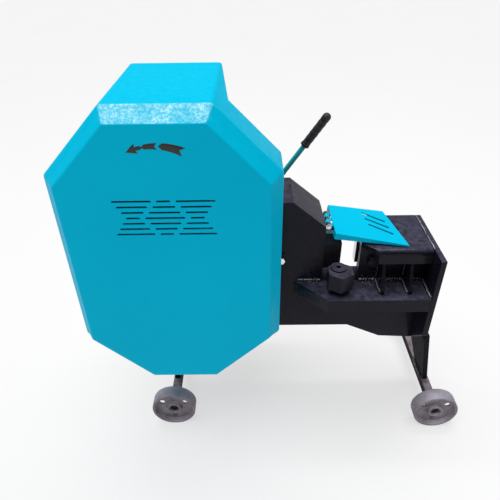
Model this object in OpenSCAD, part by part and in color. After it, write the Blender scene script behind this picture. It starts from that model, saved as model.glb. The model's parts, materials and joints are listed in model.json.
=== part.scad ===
// Powered steel bar shear on four iron wheels: belt-driven flywheel, two gear
// stages, dog clutch, crank and ram. X runs from the guard (-) to the jaws (+),
// the work table and the guard's face look towards -Y, and Z is up from the floor.

/* [Chassis] */
// Distance between the front and rear wheel axes
wheel_base = 767; // [700:1:860]
// Rear wheel axis, measured from the middle of the machine
rear_axle_x = -328; // [-336:1:-300]
// Half of the width over the wheels on the far side
half_width = 240; // [225:1:280]
// Distance of the front near wheel's outer face from the middle
front_wheel_y = 186; // [170:1:200]
// Distance of the rear near wheel's outer face from the middle
rear_wheel_y = 168; // [160:1:200]
// Side of the square axle bars
axle_bar = 24; // [18:1:32]

/* [Body] */
// Thickness of the two side plates
side_t = 16; // [12:1:20]
// Outer face of the near side plate
near_face_y = -93; // [-97:1:-89]
// Clear width between the side plates
inner_w = 101; // [99:1:108]
// Left end of the body
body_left_x = -345; // [-380:1:-335]
// Height of the body's top
body_top_z = 714; // [700:1:740]
// Height of the body's bottom
body_low_z = 330; // [318:1:340]
// Front end of the flat top, where the sloping roof starts
roof_bend_x = 5; // [-10:1:20]
// Front face of the head, over the ram
head_front_x = 86; // [84:1:92]
// Height of the head's front top edge
head_front_z = 646; // [640:1:660]
// Thickness of roof, floor and rear plates
skin_t = 12; // [8:1:14]
// Inner face of the end plate
end_plate_x = 344; // [330:1:380]
// Thickness of the end plate and the legs
end_plate_t = 14; // [10:1:18]

/* [Work table] */
// Top of the work table
table_z = 486; // [470:1:488]
// Thickness of the work table
table_t = 38; // [25:1:45]
// Front edge of the work table
table_front_y = -175; // [-190:1:-168]

/* [Jaws and ram] */
// Height of the ram's axis, which is the crank's too
ram_z = 548; // [546:1:552]
// Height of the ram
ram_h = 76; // [72:1:78]
// Width of the ram
ram_w = 90; // [86:1:92]
// Throw of the crank, half the stroke
throw = 17; // [14:0.5:18]
// Edge of the fixed blade
fixed_edge_x = 174; // [172:1:190]
// How far the closed blades pass each other
blade_pass = 1; // [0.5:0.1:2]
// Side of the square blades
blade_side = 70; // [64:1:72]
// Thickness of the blades
blade_t = 25; // [20:1:26]
// How far the moving blade stands out of the ram
nose_back = 8; // [3:1:10]
// Depth of the throat's floor below the table
throat_drop = 54; // [40:1:60]
// How much wider the throat is at the far plate
throat_flare = 30; // [20:1:36]
// Gap between the two blades' faces
blade_gap = 0.6; // [0.4:0.1:1]
// Diameter of the blade bolts
blade_bolt_d = 16; // [12:1:18]

/* [Crank] */
// Crankshaft axis
crank_x = -120; // [-124:1:-112]
// Diameter of the crank's main journals
journal_d = 60; // [50:1:60]
// Diameter of the eccentric
eccentric_d = 96; // [94:1:98]
// Distance from the eccentric's axis to the wrist pin
rod_length = 146; // [144:1:150]
// Diameter of the wrist pin
wrist_d = 28; // [22:1:30]

/* [Gears and belts] */
// Flywheel shaft axis, along the machine
flywheel_x = -264.5; // [-266:0.5:-262]
// Flywheel shaft axis, height
flywheel_z = 500; // [498:1:504]
// Outer diameter of the flywheel
flywheel_d = 380; // [340:1:384]
// Outer diameter of the motor pulley
motor_pulley_d = 100; // [90:1:112]
// Module of the first gear pair
module_1 = 4; // [4:0.1:4.1]
// Module of the second gear pair
module_2 = 5; // [5:0.1:5.1]
// Face width of the gears
gear_w = 28; // [22:1:30]

/* [Motor] */
// Height of the motor's axis
motor_z = 840; // [830:1:850]
// Diameter of the motor's housing
motor_d = 184; // [170:1:190]
// Length of the stator housing
stator_l = 165; // [140:1:175]
// Diameter of the motor shaft
motor_shaft_d = 28; // [24:1:32]

/* [Guard] */
// Half of the width of the guard's flat face
face_half_w = 212.5; // [206:0.5:230]
// Bottom of the guard's flat face
face_low_z = 298; // [285:1:302]
// Top of the guard's flat face
face_top_z = 957; // [950:1:980]
// Half of the length of the face's top edge
face_top_half = 93; // [85:1:105]
// Half of the length of the face's bottom edge
face_low_half = 79.5; // [70:0.5:95]
// Upper end of the face's upright sides
face_side_top_z = 833; // [810:1:850]
// Lower end of the face's upright sides
face_side_low_z = 426.5; // [415:0.5:440]
// How far the bevel stands out around the face
bevel_out = 25; // [15:1:32]
// Depth of the bevel behind the face
bevel_deep = 39; // [25:1:45]
// Back edge of the guard's side walls
guard_back_y = -105; // [-115:1:-101]
// Back edge of the hood over the motor
hood_back_y = 95; // [60:1:120]
// Thickness of the guard's sheet
sheet_t = 3; // [2:0.5:4]

/* [Wheels] */
// Diameter of the wheels
wheel_d = 126; // [110:1:140]
// Width of the wheels
wheel_w = 38; // [32:1:42]
// Diameter of the stub axles
stub_d = 20; // [16:1:22]

/* [Clutch and lever] */
// Travel of the clutch sleeve
clutch_travel = 11; // [10:0.5:12]
// Distance from the lever shaft to the crankshaft
fork_arm = 62; // [60:1:66]
// Diameter of the lever rod
lever_rod_d = 14; // [10:1:16]
// Diameter of the hand grip
grip_d = 23; // [20:1:30]
// Length of the hand grip
grip_l = 107; // [90:1:130]
// Lean of the lever rod from upright
lever_lean = 34.7; // [25:0.1:45]

/* [Safety cover] */
// Hinge pin along the machine
hinge_x = 98; // [96:1:100]
// Hinge pin height
hinge_z = 628; // [626:1:636]
// Slope of the closed cover
cover_slope = 7; // [5.5:0.1:7]
// Length of the cover from the hinge to its far corner tip
cover_l = 189; // [180:1:196]

/* [Stop block] */
// Stud axis along the machine
stop_x = 119; // [116:1:128]
// Stud axis across the machine
stop_y = -125; // [-135:1:-124]
// Width of the stop block over its corners
stop_corner_d = 68; // [50:1:69]
// Bottom of the stop block
stop_low_z = 503; // [498:1:512]
// Height of the stop block
stop_h = 45; // [35:1:50]

/* [Fits] */
// Running clearance of shafts, on the radius
run_fit = 0.05; // [0.03:0.01:0.08]
// Clearance of sliding and passing parts
pass_fit = 0.3; // [0.3:0.05:0.5]

/* [Hidden] */
$fn = 64;

// Places across the machine
near_in_y = near_face_y + side_t;
far_in_y = near_in_y + inner_w;
far_face_y = far_in_y + side_t;
mid_y = (near_in_y + far_in_y) / 2;
guard_face_y = -half_width;
ram_near_y = mid_y - ram_w / 2;
ram_far_y = mid_y + ram_w / 2;

// Ram, blades and throat
ram_low_z = ram_z - ram_h / 2;
ram_top_z = ram_z + ram_h / 2;
stroke = 2 * throw;
moving_edge_x = fixed_edge_x + blade_pass - stroke;
nose_x = moving_edge_x - nose_back;
blade_low_z = ram_z - blade_side / 2;
arm_left_x = fixed_edge_x + 2;
arm_top_z = 588;
cap_t = 12;
throat_z = table_z - throat_drop;
far_arm_x = arm_left_x + throat_flare;
wrist_x = crank_x - throw + rod_length;
rod_w = 50;
slot_front_x = wrist_x + wrist_d / 2 + 25;
ram_rear_x = wrist_x - 34;
guide_rear_x = -30;
blade_bolt_z = ram_z;

// Gear train: axes named by their shafts, each [x, z]
input_axis = [flywheel_x, flywheel_z];
crank_axis = [crank_x, ram_z];
teeth_in = 15;
teeth_lay = 48;
teeth_out = 14;
teeth_bull = 42;
pressure = 25;
backlash = 0.35;
centre_1 = module_1 * (teeth_in + teeth_lay) / 2;
centre_2 = module_2 * (teeth_out + teeth_bull) / 2;
axis_gap = norm(crank_axis - input_axis);
along = (centre_1 ^ 2 - centre_2 ^ 2 + axis_gap ^ 2) / (2 * axis_gap);
across = sqrt(centre_1 ^ 2 - along ^ 2);
toward = (crank_axis - input_axis) / axis_gap;
lay_axis = input_axis + along * toward + across * [toward[1], -toward[0]];
case_wall = 8;
case_back_y = far_face_y;
plane_1 = case_back_y + case_wall + 2;
plane_2 = plane_1 + gear_w + 6;
bull_w = gear_w + 8;
clutch_y = plane_2 + bull_w + 4;
jaw_h = 10;
sleeve_y = clutch_y + jaw_h + 2 + clutch_travel;
case_depth = 145;
cover_y = case_back_y + case_depth;
cover_t = 10;

// Clutch sleeve, fork and lever
sleeve_d = 84;
groove_d = 62;
sleeve_l = 30;
groove_w = 11;
fork_y = sleeve_y + sleeve_l / 2;
lever_x = crank_x + fork_arm;
lever_shaft_d = 18;
spline_d = 44;
bull_seat_d = 48;
key_w = 12;

// Gear case outline, clear of the gears by a margin
case_gap = 12;
bull_tip_r = module_2 * (teeth_bull + 2) / 2;
lay_tip_r = module_1 * (teeth_lay + 2) / 2;
case_left_x = flywheel_x - 62;
case_right_x = crank_x + bull_tip_r + case_gap + case_wall;
case_top_z = ram_z + bull_tip_r + case_gap + case_wall - 4;
case_low_z = lay_axis[1] - lay_tip_r - case_gap;
lever_z = case_top_z + 16;

// Belts
belt_h = 11;
belt_w = 14.4;
belt_ys = [-176, -157];
motor_axis = [flywheel_x, motor_z];
drive_span = motor_z - flywheel_z;

// Wheels
front_axle_x = rear_axle_x + wheel_base;
wheel_r = wheel_d / 2;
hub_gap = 4;
far_bar_y = half_width - wheel_w - hub_gap;

// ---------- helpers ----------

// Flat outline in the XZ plane, thickened from y0 to y1
module slab(y0, y1) {
    translate([0, y1, 0])
        rotate([90, 0, 0])
            linear_extrude(y1 - y0)
                children();
}

// Round bar along Y
module bar_y(axis, y0, y1, d) {
    translate([axis[0], y1, axis[1]])
        rotate([90, 0, 0])
            cylinder(h = y1 - y0, d = d);
}

// Round bar along X
module bar_x(x0, x1, y, z, d) {
    translate([x0, y, z])
        rotate([0, 90, 0])
            cylinder(h = x1 - x0, d = d);
}

// Box between two corners
module box(low, high) {
    translate(low)
        cube(high - low);
}

// Flat outline in the YZ plane, thickened from x0 to x1
module slab_x(x0, x1) {
    translate([x0, 0, 0])
        rotate([90, 0, 90])
            linear_extrude(x1 - x0)
                children();
}

// Hexagon head with its axis along Y
module hex_y(axis, y0, y1, flats) {
    translate([axis[0], y1, axis[1]])
        rotate([90, 0, 0])
            cylinder(h = y1 - y0, d = flats / cos(30), $fn = 6);
}

// Ring along Y
module ring_y(axis, y0, y1, outer_d, inner_d) {
    difference() {
        bar_y(axis, y0, y1, outer_d);
        bar_y(axis, y0 - 1, y1 + 1, inner_d);
    }
}

// Involute function in degrees
function inv(a) = tan(a) * 180 / PI - a;

// Half of a tooth's angle at radius r
function tooth_half(z, m, r) =
    90 / z + inv(pressure) - inv(acos(min(1, m * z / 2 * cos(pressure) / r)))
    - backlash / (m * z) * 180 / PI;

// Points up one flank and down the other, one tooth after another
function gear_points(z, m, turn) = [
    for (i = [0 : z - 1])
        let (r0 = max(m * z / 2 * cos(pressure) + 0.01, m * (z / 2 - 1.25)), r1 = m * (z / 2 + 1))
        for (k = [-5 : 5])
            let (step = abs(k) == 5 ? -1 : 4 - abs(k))
            let (r = step < 0 ? m * (z / 2 - 1.25) : r0 + (r1 - r0) * step / 4)
            let (side = k < 0 ? -1 : 1)
            if (k != 0)
                let (a = turn + 360 / z * i + side * tooth_half(z, m, max(r, r0)))
                r * [cos(a), sin(a)]];

// Spur gear with one tooth pointing at the angle turn
module spur(axis, y0, y1, z, m, turn, bore) {
    difference() {
        slab(y0, y1)
            translate(axis)
                polygon(gear_points(z, m, turn));
        bar_y(axis, y0 - 1, y1 + 1, bore);
    }
}

function heading(from, to) = atan2(to[1] - from[1], to[0] - from[0]);

// ---------- body ----------

// Outline of a side plate, a C round the throat, with its jaw arm starting at arm_x
module side_outline(arm_x) {
    polygon([
        [body_left_x, body_low_z], [head_front_x + 81, body_low_z], [end_plate_x - 84, body_low_z - 43],
        [end_plate_x, body_low_z - 48], [end_plate_x, arm_top_z], [arm_x, arm_top_z],
        [arm_x, throat_z], [head_front_x, throat_z], [head_front_x, head_front_z],
        [roof_bend_x, body_top_z], [body_left_x, body_top_z]]);
}

main_bush_d = journal_d + 16;
main_boss_d = main_bush_d + 34;
near_boss_w = 17;
far_boss_w = 14;
end_wall = 5;
shaft_d = 45;
near_bearing_d = 100;
near_bearing_w = 26;

// Near plate with the welded bosses of the crank's bush and the flywheel shaft's bearing
module near_side_plate() {
    color("#17161d")
        difference() {
            union() {
                slab(near_face_y, near_in_y)
                    side_outline(arm_left_x);
                bar_y(crank_axis, near_in_y, near_in_y + near_boss_w, main_boss_d);
                bar_y(input_axis, near_face_y - near_bearing_w - 1, near_face_y, near_bearing_d + 40);
            }
            bar_y(crank_axis, near_face_y + end_wall, near_in_y + near_boss_w + 1, main_bush_d);
            bar_y(input_axis, near_face_y - near_bearing_w - 2, near_face_y, near_bearing_d);
            bar_y(input_axis, near_face_y - 1, near_in_y + 1, shaft_d + 15);
            bar_y(fixed_bolt_axis, near_face_y - 1, near_in_y + 1, blade_bolt_d + 2 * pass_fit);
            for (p = stay_bolts)
                bar_y(p, near_face_y - 1, near_face_y + 10, bolt_d);
        }
}

far_bearing_d = 75;
lay_bearing_d = 62;

module far_side_plate() {
    color("#17161d")
        difference() {
            union() {
                slab(far_in_y, far_face_y)
                    side_outline(far_arm_x);
                bar_y(crank_axis, far_in_y - far_boss_w, far_in_y, main_boss_d);
            }
            bar_y(crank_axis, far_in_y - far_boss_w - 1, far_face_y + 1, main_bush_d);
            bar_y(input_axis, far_in_y - 1, far_face_y + 1, far_bearing_d);
            bar_y(lay_axis, far_in_y - 1, far_face_y + 1, lay_bearing_d);
        }
}

roof_angle = atan2(body_top_z - head_front_z, head_front_x - roof_bend_x);
roof_drop = skin_t / cos(roof_angle);
bend_in_x = roof_bend_x - skin_t * tan(roof_angle / 2);

module roof_plate() {
    color("#2e2c35")
        slab(near_in_y, far_in_y)
            polygon([
                [body_left_x + skin_t, body_top_z - skin_t], [bend_in_x, body_top_z - skin_t],
                [head_front_x, head_front_z - roof_drop], [head_front_x, head_front_z],
                [roof_bend_x, body_top_z], [body_left_x + skin_t, body_top_z]]);
}

// Rear wall and floor, bent from one plate
module belly_plate() {
    color("#17161d")
        slab(near_in_y, far_in_y)
            polygon([
                [body_left_x, body_low_z], [head_front_x + 81, body_low_z],
                [end_plate_x - 84, body_low_z - 43], [end_plate_x, body_low_z - 48],
                [end_plate_x, body_low_z - 48 + skin_t], [end_plate_x - 82, body_low_z - 43 + skin_t],
                [head_front_x + 83, body_low_z + skin_t], [body_left_x + skin_t, body_low_z + skin_t],
                [body_left_x + skin_t, body_top_z], [body_left_x, body_top_z]]);
}

guide_wall = 24;
bed_t = 42;
liner_t = 6;

// Front wall of the head with the window that guides the ram, and the bed behind it
module ram_guide() {
    rear = head_front_x - guide_wall;
    color("#17161d")
        difference() {
            union() {
                slab(near_in_y, far_in_y)
                    polygon([
                        [rear, throat_z - skin_t], [head_front_x, throat_z - skin_t],
                        [head_front_x, head_front_z - roof_drop],
                        [rear, head_front_z - roof_drop + guide_wall * tan(roof_angle)]]);
                box([guide_rear_x, near_in_y, ram_low_z - bed_t],
                    [rear, far_in_y, ram_low_z - pass_fit - liner_t]);
            }
            box([rear - 1, ram_near_y - pass_fit, ram_low_z - pass_fit],
                [head_front_x + 1, ram_far_y + pass_fit, ram_top_z + pass_fit]);
        }
}

// Bronze strips that the ram slides on: below, on both sides and over its two cheeks
module ram_liners() {
    front = head_front_x - guide_wall;
    cheek = 16;
    top = ram_top_z + pass_fit;
    color("#a8793a") {
        box([guide_rear_x, near_in_y, ram_low_z - pass_fit - liner_t],
            [front, far_in_y, ram_low_z - pass_fit]);
        box([guide_rear_x, near_in_y, ram_low_z], [front, ram_near_y - pass_fit, ram_top_z]);
        box([guide_rear_x, ram_far_y + pass_fit, ram_low_z], [front, far_in_y, ram_top_z]);
        box([guide_rear_x, near_in_y, top], [front, ram_near_y + cheek, top + 14]);
        box([guide_rear_x, ram_far_y - cheek, top], [front, far_in_y, top + 14]);
    }
}

// Fixed blade's far face is on the shear plane
fixed_far_y = mid_y - blade_gap / 2;
moving_near_y = mid_y + blade_gap / 2;
fixed_bolt_axis = [fixed_edge_x + blade_side / 2, blade_bolt_z];
moving_bolt_axis = [moving_edge_x - blade_side / 2, blade_bolt_z];

// Floor of the throat and the jaw behind the fixed blade, one forging
module jaw_block() {
    color("#17161d")
        difference() {
            union() {
                translate([0, 0, throat_z - skin_t])
                    linear_extrude(arm_top_z - throat_z + skin_t)
                        polygon([
                            [arm_left_x + 2, near_in_y], [end_plate_x, near_in_y],
                            [end_plate_x, far_in_y], [far_arm_x, far_in_y]]);
                box([head_front_x, near_in_y, throat_z - skin_t], [far_arm_x + 3, far_in_y, throat_z]);
            }
            box([arm_left_x, fixed_far_y - blade_t, blade_low_z],
                [fixed_edge_x + blade_side, fixed_far_y, blade_low_z + blade_side]);
            bar_y(fixed_bolt_axis, near_in_y - 1, far_in_y - 30, blade_bolt_d + 2 * pass_fit);
        }
}

lip_y = near_face_y - 37;
lip_r = 14;
lip_z = 562;

// Cap over the fixed jaw, with a rounded lip along the table side and a slanted left edge
module jaw_cap() {
    top = arm_top_z + cap_t;
    reach = near_face_y - lip_y;
    color("#1c1b23")
        union() {
            box([arm_left_x, near_face_y, arm_top_z], [end_plate_x, far_face_y, top]);
            intersection() {
                slab_x(arm_left_x, end_plate_x)
                    difference() {
                        union() {
                            polygon([
                                [near_face_y, arm_top_z], [near_face_y, top], [lip_y + lip_r, top],
                                [lip_y + lip_r, top - lip_r], [lip_y, top - lip_r], [lip_y, lip_z],
                                [lip_y + cap_t, lip_z], [lip_y + cap_t, arm_top_z]]);
                            translate([lip_y + lip_r, top - lip_r])
                                circle(r = lip_r);
                        }
                        translate([lip_y + cap_t, lip_z - 30])
                            square([40, arm_top_z - lip_z + 30]);
                    }
                linear_extrude(top + 1)
                    polygon([
                        [arm_left_x, near_face_y + 1], [arm_left_x, near_face_y],
                        [arm_left_x + reach + 3, lip_y - 1], [end_plate_x, lip_y - 1],
                        [end_plate_x, near_face_y + 1]]);
            }
        }
}

washer_d = 1.8 * blade_bolt_d;
rib_xs = [fixed_bolt_axis[0] + washer_d / 2 + 0.6, 292];
rib_t = 8;

module table_ribs() {
    color("#1c1b23")
        for (x = rib_xs)
            slab_x(x, x + rib_t)
                polygon([
                    [near_face_y, table_z], [near_face_y - 62, table_z], [near_face_y - 62, table_z + 12],
                    [lip_y, lip_z], [lip_y + cap_t, lip_z], [lip_y + cap_t, arm_top_z],
                    [near_face_y, arm_top_z]]);
}

module end_plate() {
    color("#1b1a21")
        slab_x(end_plate_x, end_plate_x + end_plate_t)
            polygon([
                [table_front_y, body_low_z + 35], [near_face_y, body_low_z - 48],
                [far_in_y, body_low_z - 48], [far_face_y, body_low_z],
                [far_face_y, arm_top_z + cap_t], [table_front_y, arm_top_z + cap_t]]);
}

module work_table() {
    color("#1e1d24")
        union() {
            translate([0, 0, table_z - table_t])
                linear_extrude(table_t)
                    polygon([
                        [head_front_x - 71, near_face_y], [head_front_x + 8, table_front_y],
                        [end_plate_x, table_front_y], [end_plate_x, near_face_y]]);
            translate([stop_x, stop_y, table_z - 1])
                cylinder(h = stop_top_z - 12 - table_z, d = stop_stud_d);
        }
}

leg_top_z = body_low_z + 32;
leg_foot_z = wheel_r + axle_bar / 2;
leg_run = front_axle_x - (end_plate_x + end_plate_t);
leg_tilt = atan2(leg_run, leg_top_z - leg_foot_z);

// Splayed front leg, a tapered plate from the end plate down to the axle bar
module front_leg() {
    color("#1b1a21")
        intersection() {
            translate([end_plate_x + end_plate_t, 0, leg_top_z])
                rotate([0, -leg_tilt, 0])
                    slab_x(-end_plate_t / 2, end_plate_t / 2)
                        polygon([
                            [table_front_y + 2, 30], [far_face_y - 4, 30], [far_face_y - 4, 0],
                            [mid_y + 42, -330], [mid_y - 32, -330], [table_front_y + 2, 0]]);
            box([end_plate_x + end_plate_t, -half_width, leg_foot_z],
                [front_axle_x + axle_bar / 2, half_width, leg_top_z]);
        }
}

module rear_leg() {
    color("#1b1a21")
        slab_x(rear_axle_x - end_plate_t / 2, rear_axle_x + end_plate_t / 2)
            polygon([
                [near_face_y, body_low_z], [far_face_y, body_low_z], [mid_y + 42, leg_foot_z],
                [mid_y - 32, leg_foot_z]]);
}

hub_pocket = 18;
pin_in = hub_pocket - 5.6;
pin_across = 3.6;

// Square axle bar with turned ends for the wheels, cross-drilled for the split pins
module axle(x, near_y) {
    near_bar_y = -near_y + wheel_w + hub_gap;
    stub_in = pin_in - 4;
    color("#8d8a88")
        difference() {
            union() {
                box([x - axle_bar / 2, near_bar_y, wheel_r - axle_bar / 2],
                    [x + axle_bar / 2, far_bar_y, wheel_r + axle_bar / 2]);
                bar_y([x, wheel_r], -near_y + stub_in, near_bar_y + 1, stub_d);
                bar_y([x, wheel_r], far_bar_y - 1, half_width - stub_in, stub_d);
            }
            for (y = [-near_y + pin_in, half_width - pin_in])
                bar_x(x - stub_d, x + stub_d, y, wheel_r, pin_across + 0.4);
        }
}

module front_axle() axle(front_axle_x, front_wheel_y);

module rear_axle() axle(rear_axle_x, rear_wheel_y);

// Cast wheel with recessed webs, a raised hub and three cored holes
module wheel(x, outer_y, side) {
    hub_r = 21;
    rim_r = wheel_r - 8;
    pocket_r = 15;
    web_y = 13;
    color("#8f8889")
        translate([x, outer_y, wheel_r])
            rotate([side * -90, 0, 0])
                difference() {
                    rotate_extrude($fn = 96)
                        polygon([
                            [stub_d / 2 + run_fit, hub_pocket], [pocket_r, hub_pocket], [pocket_r, 3],
                            [hub_r, 3], [hub_r + 3, web_y], [rim_r - 3, web_y], [rim_r, 1],
                            [wheel_r - 5, 0],
                            [wheel_r, 2], [wheel_r, wheel_w - 2], [wheel_r - 2, wheel_w],
                            [rim_r, wheel_w], [rim_r - 2, web_y + 6], [hub_r + 4, web_y + 6],
                            [hub_r, wheel_w],
                            [stub_d / 2 + run_fit, wheel_w]]);
                    for (a = [90, 210, 330])
                        rotate([0, 0, a])
                            translate([(hub_r + rim_r) / 2 + 1, 0, -1])
                                cylinder(h = wheel_w + 2, d = 16);
                }
}

module wheel_front_near() wheel(front_axle_x, -front_wheel_y, 1);

module wheel_front_far() wheel(front_axle_x, half_width, -1);

module wheel_rear_near() wheel(rear_axle_x, -rear_wheel_y, 1);

module wheel_rear_far() wheel(rear_axle_x, half_width, -1);

// Washer and split pin that keep each wheel on its stub, in the hub's pocket
module wheel_fixings() {
    color("#6f6a68")
        for (x = [[rear_axle_x, -rear_wheel_y], [front_axle_x, -front_wheel_y]])
            for (end = [[x[1], 1], [half_width, -1]])
                translate([x[0], end[0], wheel_r])
                    rotate([end[1] * -90, 0, 0]) {
                        difference() {
                            translate([0, 0, hub_pocket - 3.5])
                                cylinder(h = 2.5, d = 28);
                            translate([0, 0, hub_pocket - 4.5])
                                cylinder(h = 5, d = stub_d + 0.6);
                        }
                        translate([-13, 0, pin_in])
                            rotate([0, 90, 0])
                                cylinder(h = 26, d = pin_across);
                    }
}

bolt_d = 10;
bolt_flats = 17;
bolt_head = 7;

// Hexagon bolt along Y with its head towards -Y, seated at y
module bolt_near(axis, y, length) {
    hex_y(axis, y - bolt_head, y, bolt_flats);
    bar_y(axis, y - 1, y + length, bolt_d);
}

// Hexagon bolt along Y with its head towards +Y, seated at y
module bolt_far(axis, y, length) {
    hex_y(axis, y, y + bolt_head, bolt_flats);
    bar_y(axis, y - length, y + 1, bolt_d);
}

// The machine's M10 bolts: guard stays, gear case cover and motor feet
module hex_bolts() {
    color("#c8cacd") {
        for (p = stay_bolts)
            bolt_near(p, near_face_y - stay_t, stay_t + 10);
        for (p = case_bolts)
            bolt_far(p, cover_y + cover_t, cover_t + 6);
        for (p = motor_bolts)
            translate([p[0], p[1], motor_z - foot_drop]) {
                translate([0, 0, -10])
                    cylinder(h = 23, d = bolt_d);
                translate([0, 0, foot_t])
                    cylinder(h = bolt_head, d = bolt_flats / cos(30), $fn = 6);
            }
    }
}

// ---------- crank, rod and ram ----------

outboard_d = 36;

outboard_bush_d = outboard_d + 14;
outboard_ys = [cover_y - 7, cover_y + 3];

// Bronze bushes of the crankshaft: near plate, far plate and gear case cover
module crank_bushes() {
    color("#a8793a") {
        ring_y(crank_axis, near_face_y + end_wall, near_in_y + near_boss_w, main_bush_d,
            journal_d + 2 * run_fit);
        ring_y(crank_axis, far_in_y - far_boss_w, far_face_y, main_bush_d, journal_d + 2 * run_fit);
        ring_y(crank_axis, outboard_ys[0], outboard_ys[1], outboard_bush_d, outboard_d + 2 * run_fit);
    }
}

eccentric_axis = [crank_x - throw, ram_z];
ring_in_y = clutch_y + 0.4;
ring_w = 2.5;
key_ys = [clutch_y + 4, cover_y - 13];

// Crankshaft with its eccentric and the two keys that drive the clutch sleeve
module crankshaft() {
    color("#9a9da3") {
        bar_y(crank_axis, near_face_y + end_wall + 1, near_in_y + near_boss_w + 3, journal_d);
        bar_y(eccentric_axis, near_in_y + near_boss_w + 3, far_in_y - far_boss_w - 3, eccentric_d);
        bar_y(crank_axis, far_in_y - far_boss_w - 4, case_back_y + 4, journal_d);
        bar_y(crank_axis, case_back_y + 3, plane_2 - 4, journal_d - 6);
        bar_y(crank_axis, plane_2 - 5, ring_in_y, bull_seat_d);
        bar_y(crank_axis, ring_in_y - 1, outboard_ys[0] - 1, spline_d);
        bar_y(crank_axis, outboard_ys[0] - 2, outboard_ys[1] - 0.5, outboard_d);
        for (side = [-1, 1])
            translate([0, 0, side * (spline_d / 2 - 1)])
                box([crank_x - key_w / 2, key_ys[0], ram_z - 4], [crank_x + key_w / 2, key_ys[1], ram_z + 4]);
    }
}

// Ring that keeps the bull gear on its seat
module shaft_ring() {
    color("#55565c")
        ring_y(crank_axis, ring_in_y, ring_in_y + ring_w, bull_seat_d + 10, spline_d);
}

rod_bush_d = eccentric_d + 10;
rod_end_d = rod_bush_d + 38;
rod_big_w = 56;

module conrod() {
    color("#55565c")
        difference() {
            union() {
                bar_y(eccentric_axis, mid_y - rod_big_w / 2, mid_y + rod_big_w / 2, rod_end_d);
                bar_y([wrist_x, ram_z], mid_y - rod_w / 2, mid_y + rod_w / 2, wrist_d + 26);
                slab(mid_y - rod_w / 2, mid_y + rod_w / 2)
                    polygon([
                        [eccentric_axis[0], ram_z - 42], [wrist_x, ram_z - 22], [wrist_x, ram_z + 22],
                        [eccentric_axis[0], ram_z + 42]]);
            }
            bar_y(eccentric_axis, mid_y - rod_big_w, mid_y + rod_big_w, rod_bush_d);
            bar_y([wrist_x, ram_z], mid_y - rod_w, mid_y + rod_w, wrist_d);
        }
}

module conrod_bush() {
    color("#a8793a")
        ring_y(eccentric_axis, mid_y - rod_big_w / 2, mid_y + rod_big_w / 2, rod_bush_d,
            eccentric_d + 2 * run_fit);
}

module wrist_pin() {
    color("#9a9da3")
        bar_y([wrist_x, ram_z], ram_near_y + 2, ram_far_y - 2, wrist_d);
}

// The rod swings above the axis in the cutting half turn, so the pin's slots are tall
pin_play_x = 0.22 * throw + 1.2;
pin_play_z = throw + 1.2;
bolt_head_d = 1.5 * blade_bolt_d;
cheek_seat_y = moving_near_y + blade_t;

module ram() {
    color("#6b6c72")
        difference() {
            box([ram_rear_x, ram_near_y, ram_low_z], [nose_x, ram_far_y, ram_top_z]);
            box([ram_rear_x - 1, mid_y - rod_w / 2 - 1, ram_low_z - 1],
                [slot_front_x, mid_y + rod_w / 2 + 1, ram_top_z + 1]);
            box([wrist_x - wrist_d / 2 - pin_play_x, ram_near_y - 1, ram_z - wrist_d / 2 - 1.2],
                [wrist_x + wrist_d / 2 + pin_play_x, ram_far_y + 1, ram_z + wrist_d / 2 + pin_play_z]);
            box([moving_edge_x - blade_side, moving_near_y, ram_low_z - 1],
                [nose_x + 1, cheek_seat_y, ram_top_z + 1]);
            bar_y(moving_bolt_axis, cheek_seat_y - 1, ram_far_y + 1, blade_bolt_d + 2 * pass_fit);
            bar_y(moving_bolt_axis, ram_far_y - 10, ram_far_y + 1, bolt_head_d + 1);
        }
}

module moving_blade() {
    color("#b9bcc2")
        difference() {
            box([moving_edge_x - blade_side, moving_near_y, blade_low_z],
                [moving_edge_x, cheek_seat_y, blade_low_z + blade_side]);
            bar_y(moving_bolt_axis, moving_near_y + 5, cheek_seat_y + 1, blade_bolt_d);
        }
}

module moving_blade_bolt() {
    color("#3a3a40")
        difference() {
            union() {
                bar_y(moving_bolt_axis, moving_near_y + 6, ram_far_y - 9.5, blade_bolt_d);
                bar_y(moving_bolt_axis, ram_far_y - 10, ram_far_y - 0.6, bolt_head_d);
            }
            hex_y(moving_bolt_axis, ram_far_y - 6, ram_far_y, 12);
        }
}

module fixed_blade() {
    color("#b9bcc2")
        difference() {
            box([fixed_edge_x, fixed_far_y - blade_t, blade_low_z],
                [fixed_edge_x + blade_side, fixed_far_y, blade_low_z + blade_side]);
            bar_y(fixed_bolt_axis, fixed_far_y - blade_t - 1, fixed_far_y + 1, blade_bolt_d + 2 * pass_fit);
        }
}

module fixed_blade_bolt() {
    color("#26252c") {
        hex_y(fixed_bolt_axis, near_face_y - 12, near_face_y - 2, 1.5 * blade_bolt_d);
        bar_y(fixed_bolt_axis, near_face_y - 2, near_face_y, washer_d);
        bar_y(fixed_bolt_axis, near_face_y - 3, far_in_y - 31, blade_bolt_d);
    }
}

// ---------- belt drive ----------

// Grooved rim: outer radius r, with a V groove at each belt
module grooved(axis, y0, y1, r, bore) {
    groove_h = belt_h + 2;
    difference() {
        bar_y(axis, y0, y1, 2 * r);
        bar_y(axis, y0 - 1, y1 + 1, bore);
        for (y = belt_ys)
            translate([axis[0], y, axis[1]])
                rotate([90, 0, 0])
                    rotate_extrude($fn = 128)
                        polygon([
                            [r - groove_h, -5.8], [r + 1, -9.6], [r + 1, 9.6], [r - groove_h, 5.8]]);
    }
}

flywheel_ys = [-198, -134];
hub_ys = flywheel_ys + [-4, 4];

// Key of the flywheel, half in the shaft and half in the hub
module flywheel_key() {
    box([flywheel_x - 7, hub_ys[0], flywheel_z + shaft_d / 2 - 5],
        [flywheel_x + 7, hub_ys[1], flywheel_z + shaft_d / 2 + 4]);
}

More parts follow.
